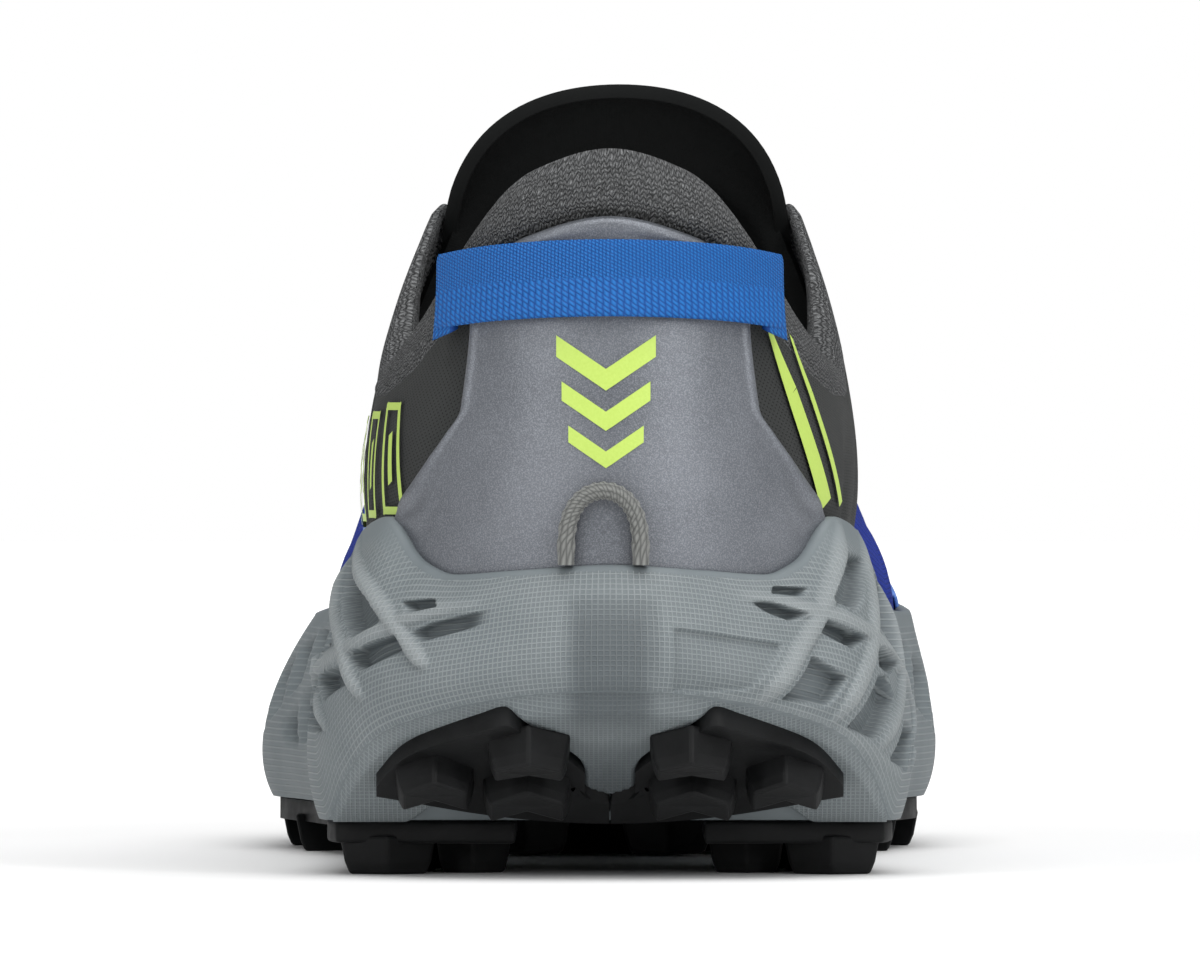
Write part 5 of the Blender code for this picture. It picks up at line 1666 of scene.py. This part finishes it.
# %% [markdown]
# A strap of webbing crosses the top of the heel. It is one flat tube: a bottom edge, the face, a top edge
# and the back. At both ends the webbing is folded under, so it is thicker there, and a second layer peeps
# out below. The weave comes from the UV map, in metres, measured from the strap's middle line.

# %% Pull strap
STRAP_ENDS = 0.0965
STRAP_HEIGHT, STRAP_RISE = 0.0925, 0.0020


def strap_section(turn, drop=0.0, grow=0.0):
    """The four corners of the strap's section at a share of the way round, from -1 to 1."""
    side, t = (-1 if turn < 0 else 1), abs(turn) * STRAP_ENDS
    middle = STRAP_HEIGHT + STRAP_RISE * (1 - turn * turn) - drop
    folded = ease(abs(turn), 0.80, 0.90)
    inner = FILM_OFF + OVERLAY_GAP + 0.0006 * (1 - folded)
    outer = inner + WEBBING_WALL * (1 + 0.55 * folded)
    tall = WEBBING_WIDTH + grow
    return side, t, middle, inner, outer, tall


def strap_point(turn, around_section, drop=0.0, grow=0.0):
    """around_section runs 0 to 1 up the face, 1 to 2 over the top and down the back."""
    side, t, middle, inner, outer, tall = strap_section(turn, drop, grow)
    q = around_section
    rounding = 0.22
    if q <= 1:
        up, off = q - 0.5, outer - rounding * (outer - inner) * (abs(2 * q - 1) ** 10)
    else:
        up, off = 1.5 - q, inner
    v = upper_at_height(side, t, round(middle + up * tall, 6))
    return off_upper(side, t, v, off)


def make_strap():
    along, up = 150, 26
    bm = bmesh.new()
    ring = up * 2

    def place(i, j):
        turn = 2 * i / along - 1
        return strap_point(turn, (j % ring) / up)

    def uv(i, j):
        turn = 2 * i / along - 1
        q = j / up
        height = (q if q <= 1 else 2 - q) - 0.5
        return turn * STRAP_ENDS * SIDE_LENGTH, height * WEBBING_WIDTH

    lay_grid(bm, along, ring, place, uv)
    for i in (0, along):
        bm.faces.new([bm.verts.new(place(i, j)) for j in range(ring)])
    weld(bm, 0.00001)
    return piece("strap_heel", bm, [strap_cloth], ["pull_tab"])


def make_strap_folds():
    """The turned-under layer at each end, a little lower and wider than the face."""
    bm = bmesh.new()
    along, up = 14, 14
    for side in SIDES:

        def place(i, j, side=side):
            turn = side * (0.885 + 0.140 * i / along)
            q = (j % (2 * up)) / up
            sink = 0.0012 + 0.0007 * i / along
            side_, t, middle, inner, outer, tall = strap_section(turn, sink, 0.0006)
            t = min(t, STRAP_ENDS * 1.025)
            up_, off = (q - 0.5, inner + 0.75 * (outer - inner)) if q <= 1 else (1.5 - q, inner)
            v = upper_at_height(side_, t, round(middle + up_ * (tall - 0.001), 6))
            return off_upper(side_, t, v, off)

        lay_grid(bm, along, 2 * up, place, lambda i, j: (i * 0.0004, (j / up - 0.5) * WEBBING_WIDTH))
        for i in (0, along):
            bm.faces.new([bm.verts.new(place(i, j)) for j in range(2 * up)])
    weld(bm, 0.00001)
    return piece("strap_folds", bm, [strap_cloth])


strap, strap_folds = make_strap(), make_strap_folds()

# %% [markdown]
# At the foot of the heel stands a small loop of braided cord. Its tube has many short steps, and each
# corner is pushed out where a strand passes over, so the braid is real relief and shows in the outline too.

# %% Cord loop
CORD_HALF, CORD_RISE = 0.0056, 0.0112


def loop_centre(s):
    radius = CORD_DIAMETER / 2
    foot = rim_height(0.0) + 0.0002
    x = -CORD_HALF * math.cos(math.pi * s) - 0.001
    z = foot + CORD_RISE * math.sin(math.pi * s) ** 0.6
    side, t = (-1 if x < 0 else 1), abs(x) / SIDE_LENGTH * 1.12
    v = upper_at_height(side, t, z)
    return off_upper(side, t, v, FILM_OFF + OVERLAY_GAP + radius)


def braid_relief(around_share, steps_along):
    """How high the strands of a round braid stand, 0 to 1."""
    a = around_share * 4 + steps_along
    b = around_share * 4 - steps_along
    parity = (math.floor(a) + math.floor(b)) % 2
    first, second = abs(math.sin(math.pi * a)), abs(math.sin(math.pi * b))
    return first * second**0.4 if parity else first**0.4 * second


def make_cord():
    radius, sides, count = CORD_DIAMETER / 2, 40, 190
    bm = bmesh.new()

    def place(i, j):
        s = j / count
        ahead = loop_centre(min(s + 0.004, 1.0)) - loop_centre(max(s - 0.004, 0.0))
        along = ahead.normalized() if 0 < j < count else Vector((0, 0, 1 if j == 0 else -1))
        wide = along.cross(Vector((0, -1, 0))).normalized()
        out = wide.cross(along)
        share = (i % sides) / sides
        angle = 2 * math.pi * share
        strand = braid_relief(share, j / count * 15)
        away = radius * (0.86 + 0.16 * strand)
        return loop_centre(s) + (wide * math.cos(angle) + out * math.sin(angle)) * away

    lay_grid(bm, sides, count, place, lambda i, j: (i / sides * 0.009, j / count * 0.034))
    weld(bm, 0.000005)
    return piece("braided_cord_loop", bm, [cord_cloth], ["cord_loop"])


cord_loop = make_cord()

# %% [markdown]
# The tongue is a thin arched sheet. Its sides lie under the eyestays and its head stands free above the
# throat, where the photograph shows its smooth inner face behind the heel.

# %% Tongue
TONGUE_FOOT, TONGUE_HEAD = 0.565, 0.325
TONGUE_RISE, TONGUE_BACK = 0.17, 0.045
TONGUE_FLANK = 0.30
TONGUE_CLEARANCE = 0.0009


def across_throat(t, u, off, pull=0.36):
    """|u| up to 1 spans the open throat with an arch, and beyond 1 the point runs down the wall."""

    def on_wall(side, v):
        away = off if off >= 0 else off - wall_thickness(t, v)
        return off_upper(side, t, v, away)

    side = -1 if u < 0 else 1
    if abs(u) >= 1:
        return on_wall(side, 2 - abs(u))
    ends = [on_wall(s, 1.0) for s in SIDES]
    slopes = [(end - on_wall(s, 0.9)).normalized() for s, end in zip(SIDES, ends)]
    reach = (ends[1] - ends[0]).length * pull
    return bezier([ends[0], ends[0] + slopes[0] * reach, ends[1] + slopes[1] * reach, ends[1]], (u + 1) / 2)


def tongue_point(share, row, under, free):
    bend = 0.56
    u = share / bend
    if abs(u) > 1:
        u = math.copysign(1 + TONGUE_FLANK * (abs(share) - bend) / (1 - bend), share)
    t = TONGUE_FOOT + (TONGUE_HEAD - TONGUE_FOOT) * min(row / under, 1.0)
    rise = max(row - under, 0) / free
    crown = max(1 - abs(share / 0.645) ** 3.0, 0.0) ** 0.58
    up = Vector((0, -TONGUE_BACK * LENGTH * rise, TONGUE_RISE * INSTEP_HEIGHT * rise * (2 - rise) * 1.03))
    wider = Vector((0.0023 * min(max(u, -1.0), 1.0) * ease(rise, 0.0, 0.3), 0, 0))
    return across_throat(t, u, -TONGUE_CLEARANCE) + up * max(crown, 0.06) + wider


def make_tongue():
    across, under, free = 80, 54, 24
    bm = bmesh.new()

    def place(i, j):
        row = j * 9 / under if j <= under else 9 + (j - under) * 4 / free
        return tongue_point(i / across * 2 - 1, row, 9, 4)

    lay_grid(bm, across, under + free, place, lambda i, j: (i / across * 0.085, j / (under + free) * 0.105))
    face_away(bm, INSIDE)
    made = piece("cloth_tongue", bm, [tongue_cloth], ["tongue"])
    give_wall(made, TONGUE_WALL, 0.0006)
    return made


tongue = make_tongue()

# %% [markdown]
# The sock liner lies on the footbed. Its top is slightly dished, and its edge is rounded by a Bevel
# modifier.

# %% Insole


def make_insole():
    bm = bmesh.new()
    keys = keys_between(0.0, 1.0, 90)
    across = 24

    def spot(i, j, up):
        t = keys[j]
        edges = []
        for side in SIDES:
            foot = upper_section(side, t, 0)[0]
            edges.append(Vector(in_plan_off(side, t, foot, -(UPPER_WALL + 2.5 * SEAT_GAP))))
        x, y = edges[0] + (edges[1] - edges[0]) * (i / across)
        dish = 0.0012 * (2 * i / across - 1) ** 2 if up else 0
        return Vector((x, y, bed_height(y) + GAP + up * (INSOLE_THICKNESS - 0.0012) + dish))

    def metres(i, j):
        corner = spot(i, j, 0)
        return corner.x, corner.y

    for up in (0, 1):
        lay_grid(bm, across, len(keys) - 1, lambda i, j, up=up: spot(i, j, up), metres)
    for i in (0, across):
        lay_grid(bm, 1, len(keys) - 1, lambda a, j, i=i: spot(i, j, a), lambda a, j, i=i: metres(i, j))
    weld(bm, 0.00005)
    made = piece("sock_liner_sheet", bm, [liner], ["insole"])
    bevel = made.modifiers.new("rounded", "BEVEL")
    bevel.width = 0.0008
    bevel.segments = 2
    return made


insole = make_insole()

# %% [markdown]
# The films at the front are cut from the upper's own surface too: a cap that climbs round the toe, and the
# band with the eyelets round the throat. A narrow film covers the seam between the dark quarter and the
# blue forefoot.

# %% Films at the front
TOE_CAP_START = 0.70
EYESTAY_TOP, EYESTAY_END = 0.333, 0.606
EYESTAY_LOW = Table(
    "rise",
    [
        (0.333, 0.920),
        (0.350, 0.810),
        (0.375, 0.750),
        (0.560, 0.750),
        (0.580, 0.775),
        (0.598, 0.850),
        (0.606, 0.920),
    ],
)
FRONT_OFF = OVERLAY_GAP + OVERLAY_WALL


def lipped(from_edge):
    return FRONT_OFF - 0.0007 * (1 - ease(from_edge, 0.0, 0.0008))


def make_toe_cap():
    across, rows = 150, 30
    bm = bmesh.new()

    def place(i, j):
        side = -1 if i < across / 2 else 1
        t = 1 - (1 - TOE_CAP_START) * abs(2 * i / across - 1)
        low = above_rim(side, t)
        grown = 1 - ((1 - t) / (1 - TOE_CAP_START)) ** 2.2
        v = low + (0.05 + (0.60 - low) * grown) * j / rows
        edge = (1 - j / rows) * (0.05 + 0.6 * grown) * 0.05
        return off_upper(side, t, v, lipped(edge) - vamp_crease(t, v))

    lay_grid(bm, across, rows, place)
    bmesh.ops.dissolve_degenerate(bm, edges=bm.edges, dist=0.00002)
    face_away(bm, INSIDE)
    made = piece("film_toe", bm, [blue_film], ["toe_cap"])
    give_wall(made, 0.0006)
    return made


def make_eyestay():
    rows = 14
    keys = keys_between(EYESTAY_TOP, EYESTAY_END, 90)
    bm = bmesh.new()
    for side in SIDES:

        def place(i, j, side=side):
            t = keys[i]
            low = EYESTAY_LOW.at("rise", t)
            high = down_from_edge(side, t, 0.0010) if t < THROAT_END - 0.004 else 1.0
            v = low + (high - low) * j / rows
            along_edge = min(j, (rows - j) if t < THROAT_END - 0.004 else j) / rows * 0.012
            raised = wing(t, v)
            off = lipped(min(along_edge, (t - EYESTAY_TOP) * 0.3)) - vamp_crease(t, v) + 0.25 * raised
            return off_upper(side, t, v, off) + Vector((0, 0, raised))

        lay_grid(bm, 90, rows, place)
    bmesh.ops.remove_doubles(bm, verts=bm.verts, dist=0.00003)
    bmesh.ops.recalc_face_normals(bm, faces=bm.faces)
    face_away(bm, INSIDE)
    made = piece("film_eyestay", bm, [grey_film], ["eyestay"])
    give_wall(made, 0.0006)
    return made


def make_seam_film():
    """The lighter strip from the midsole up to the eyestay, on both sides."""
    rows, wide = 60, 8
    bm = bmesh.new()
    for side in SIDES:

        def place(i, j, side=side):
            share = j / rows
            middle = 0.402 - 0.030 * share + 0.012 * math.sin(math.pi * share)
            half = 0.0105 - 0.0035 * share
            t = middle + (2 * i / wide - 1) * half
            low, high = above_rim(side, t), EYESTAY_LOW.at("rise", t) + 0.02
            edge = min(i, wide - i) / wide * 2 * half * 0.4
            return off_upper(side, t, low + (high - low) * share, lipped(edge) - 0.0003)

        lay_grid(bm, wide, rows, place)
    bmesh.ops.recalc_face_normals(bm, faces=bm.faces)
    face_away(bm, INSIDE)
    made = piece("film_seam", bm, [blue_film])
    give_wall(made, 0.0006)
    return made


make_toe_cap()
make_eyestay()
make_seam_film()

# %% [markdown]
# The lace runs through six pairs of eyelets. An eyelet is a ring made with spin: a small round section
# turned once about the eyelet's own axis. Each crossing of the lace is a flat ribbon that rises out of one
# eyelet, lies over the tongue and dives into the next. The ends stop inside the top pair.

# %% Eyelets
EYELETS = (0.548, 0.509, 0.470, 0.431, 0.392, 0.353)
EYELET_IN = 0.0075
LACE_OFF = 2 * OVERLAY_GAP + OVERLAY_WALL + LACE_WALL / 2 + 0.0007


def make_eyelets():
    bm = bmesh.new()
    for side in SIDES:
        for t in EYELETS:
            v = down_from_edge(side, t, EYELET_IN)
            centre = off_upper(side, t, v, FRONT_OFF) + Vector((0, 0, wing(t, v)))
            axis = upper_normal(side, t, v)
            across = axis.orthogonal().normalized()
            ring = bmesh.ops.create_circle(bm, segments=8, radius=0.00042)["verts"]
            for vert in ring:
                vert.co = centre + across * (0.0021 + vert.co.x) + axis * (vert.co.y + 0.0001)
            edges = list({edge for vert in ring for edge in vert.link_edges})
            bmesh.ops.spin(
                bm,
                geom=edges,
                cent=centre,
                axis=axis,
                angle=2 * math.pi,
                steps=24,
                use_merge=True,
                dvec=(0, 0, 0),
            )
    weld(bm, 0.00001)
    return piece("eyelet_rings", bm, [tongue_cloth])


# %% Lace
LACE_ACROSS, LACE_ALONG = 10, 44


def lace_run(bm, side, start, end, lift):
    """A ribbon from the eyelet at key start on one side to the eyelet at key end on the other."""

    def centre(s, ahead=0.0):
        t = start + (end - start) * s + ahead
        reach = 1 + (1 - down_from_edge(side, t, EYELET_IN))
        dive = 0.0022 * (1 - ease(min(s, 1 - s), 0.0, 0.075))
        over = lift * ease(min(s, 1 - s), 0.10, 0.42)
        raised = Vector((0, 0, wing(t, 1.0) * 0.95))
        return across_throat(t, side * reach * (1 - 2 * s), LACE_OFF + over - dive, 0.33) + raised

    def place(i, j):
        s = j / LACE_ALONG
        along = (centre(min(s + 0.02, 1.0)) - centre(max(s - 0.02, 0.0))).normalized()
        forward = centre(s, 0.01) - centre(s, -0.01)
        up = along.cross(forward).normalized()
        up = -up if up.z < 0 else up
        angle = 2 * math.pi * (i % (2 * LACE_ACROSS)) / (2 * LACE_ACROSS)
        narrow = 0.62 + 0.38 * ease(min(s, 1 - s), 0.0, 0.16)
        flat_x = math.copysign(abs(math.cos(angle)) ** 0.55, math.cos(angle))
        flat_z = math.copysign(abs(math.sin(angle)) ** 0.75, math.sin(angle))
        across = along.cross(up) * (flat_x * LACE_WIDTH / 2 * narrow)
        return centre(s) + across + up * (flat_z * LACE_WALL / 2)

    lay_grid(bm, 2 * LACE_ACROSS, LACE_ALONG, place, lambda i, j: (i * 0.0006, j / LACE_ALONG * 0.06))


def make_lace():
    bm = bmesh.new()
    for start, end in zip(EYELETS, EYELETS[1:]):
        lace_run(bm, -1, start, end, 0.0)
        lace_run(bm, 1, start, end, 0.0016)
    lace_run(bm, -1, EYELETS[0] + 0.0030, EYELETS[0] + 0.0030, 0.0)
    bmesh.ops.remove_doubles(bm, verts=bm.verts, dist=0.000005)
    bmesh.ops.recalc_face_normals(bm, faces=bm.faces)
    return piece("flat_lace", bm, [lace_cloth], ["laces"])


eyelets, lace = make_eyelets(), make_lace()

# %% [markdown]
# The prints are plain: a stack of three chevrons on the heel, a row of slanted bars on the outer side, and
# two lines on the inner side. Each is a thin sheet that follows the surface below it, so it bends as the
# cloth does.

# %% Prints
PRINT_OFF = 0.00016


def back_at(x, z, off):
    """The point on the back of the heel at a given x and height."""
    side, low, high = (-1 if x < 0 else 1), 0.0, 0.16
    for _ in range(20):
        t = (low + high) / 2
        if abs(upper_point(side, t, upper_at_height(side, t, z)).x) < abs(x):
            low = t
        else:
            high = t
    return off_upper(side, low, upper_at_height(side, low, z), off)


CHEVRON_ROWS = ((0.0847, 0.0074, 0.0034), (0.0782, 0.0066, 0.0030), (0.0722, 0.0056, 0.0026))


def make_heel_print():
    bm = bmesh.new()
    for tip, half, tall in CHEVRON_ROWS:

        def place(i, j, tip=tip, half=half, tall=tall):
            x = half * (i / 14 - 1)
            z = tip - 0.0062 + abs(x) * 0.72 + tall * (j / 4 - 0.5)
            return back_at(x - 0.0006, round(z, 6), FILM_OFF + PRINT_OFF)

        lay_grid(bm, 28, 4, place)
    bmesh.ops.recalc_face_normals(bm, faces=bm.faces)
    face_away(bm, INSIDE)
    return piece("print_heel", bm, [lime])


def add_stroke(bm, side, corners, width, closed=False, parts=10):
    """A line of print through corners given as key and height, joined square at each corner."""
    points = list(corners) + ([corners[0]] if closed else [])
    for (t0, z0, w0), (t1, z1, w1) in zip(points, points[1:]):
        run, rise = (t1 - t0) * SIDE_LENGTH, z1 - z0
        length = math.hypot(run, rise)
        over = width / 2 / length if closed else 0.0

        def place(i, j):
            s = -over + (1 + 2 * over) * j / parts
            half = (w0 + (w1 - w0) * s) * width / 2 * (i - 1)
            t = t0 + (run * s - rise / length * half) / SIDE_LENGTH
            z = z0 + rise * s + run / length * half
            v = upper_at_height(side, t, round(z, 6))
            return off_upper(side, t, v, 2 * PRINT_OFF + GAP)

        lay_grid(bm, 2, parts, place)


def below_fold(side, t):
    """The height just under the fold of the knit."""
    return upper_section(side, t, down_from_edge(side, t, KNIT_FOLD.at("down", t) + 0.0030))[1]


def make_side_prints():
    bm = bmesh.new()
    lean, wide = 0.018, 0.020
    for k in range(5):
        t, low = 0.124 + 0.036 * k, 0.0580 - 0.0006 * k
        folds = [below_fold(-1, t + lean + wide * share) for share in (0, 0.25, 0.5, 0.75, 1)]
        high = min(0.0830 - 0.0022 * k, *folds)
        corners = [(t, low, 1), (t + wide, low, 1), (t + wide + lean, high, 1), (t + lean, high, 1)]
        add_stroke(bm, -1, corners, 0.0012, closed=True)
        inner = [(t + wide / 2 + lean * share, low + (high - low) * share, 1) for share in (0.26, 0.74)]
        add_stroke(bm, -1, inner, 0.0018)
    for shift, width in ((0.0, 0.0040), (0.020, 0.0018)):
        corners = [(0.098 + shift, 0.0870, 0.3), (0.113 + shift, 0.0765, 1.0), (0.133 + shift, 0.0590, 1.2)]
        add_stroke(bm, 1, corners, width)
    bmesh.ops.recalc_face_normals(bm, faces=bm.faces)
    face_away(bm, INSIDE)
    return piece("print_sides", bm, [lime])


make_heel_print()
make_side_prints()

# %% [markdown]
# The studio is a white floor under soft light: a wide sun above, two tall lights behind the camera that give
# the film its two bright bands, and a white world that fills the shadows. The floor also glows, more the
# farther it lies from the shoe: painted light that whitens the far floor and keeps the shade near the shoe
# dark.

# %% Floor and light


def make_floor():
    bm = bmesh.new()
    bmesh.ops.create_grid(bm, x_segments=1, y_segments=1, size=6.0)
    mesh = bpy.data.meshes.new("floor")
    bm.to_mesh(mesh)
    bm.free()
    made, tree, shader = start_finish("studio_floor", 0.6, Emission_Color=(1, 1, 1, 1))
    fine = use(tree, mottle, Place=read_place(tree, "Object"), Size=0.4)[0]
    distance = tree.nodes.new("ShaderNodeVectorMath")
    distance.operation = "LENGTH"
    feed(tree, distance.inputs[0], read_place(tree, "Object"))
    # Painted light: the floor glows, not at all within 0.15 m of the shoe's middle, rising to 0.3 at 0.6 m.
    feed(tree, shader["Emission Strength"], smooth(tree, distance.outputs["Value"], 0.15, 0.60, 0.0, 0.30))
    feed(tree, shader["Base Color"], blend_colours(tree, fine, (0.86, 0.86, 0.86), (0.88, 0.88, 0.88)))
    mesh.materials.append(made)
    floor = bpy.data.objects.new("floor", mesh)
    bpy.context.scene.collection.objects.link(floor)
    return floor


def add_light(name, place, size, power, aim_at=(0, 0, 0.05)):
    data = bpy.data.lights.new(name, "AREA")
    data.shape = "RECTANGLE"
    data.size, data.size_y = size
    data.energy = power
    light = bpy.data.objects.new(name, data)
    light.location = place
    light.rotation_euler = (Vector(aim_at) - light.location).to_track_quat("-Z", "Y").to_euler()
    bpy.context.scene.collection.objects.link(light)
    return light


def add_sky(seen, felt):
    """A white world. The camera sees it full white, and the shoe feels a little less of it."""
    world = bpy.data.worlds.new("studio")
    world.use_nodes = True
    tree = world.node_tree
    background = tree.nodes["Background"]
    background.inputs["Color"].default_value = (1, 1, 1, 1)
    path = tree.nodes.new("ShaderNodeLightPath")
    seen_ray = path.outputs["Is Camera Ray"]
    feed(tree, background.inputs["Strength"], maths(tree, "MULTIPLY_ADD", seen_ray, seen - felt, felt))
    bpy.context.scene.world = world


def add_sun(strength, spread, place):
    """A wide, soft light from one side. It reaches the whole floor evenly."""
    data = bpy.data.lights.new("sun", "SUN")
    data.energy = strength
    data.angle = math.radians(spread)
    light = bpy.data.objects.new("sun", data)
    light.rotation_euler = (-Vector(place)).to_track_quat("-Z", "Y").to_euler()
    bpy.context.scene.collection.objects.link(light)


make_floor()
add_light("left", (-0.95, -1.35, 0.60), (0.26, 0.8), 6)
add_light("right", (0.95, -1.35, 0.60), (0.26, 0.8), 8)
add_sun(3.1, 70, (0.15, -0.30, 1.0))
add_sky(1.0, 0.27)
print("studio ready")

# %% Sizes and the end
bpy.context.view_layer.update()
print("CAD", cad_box)
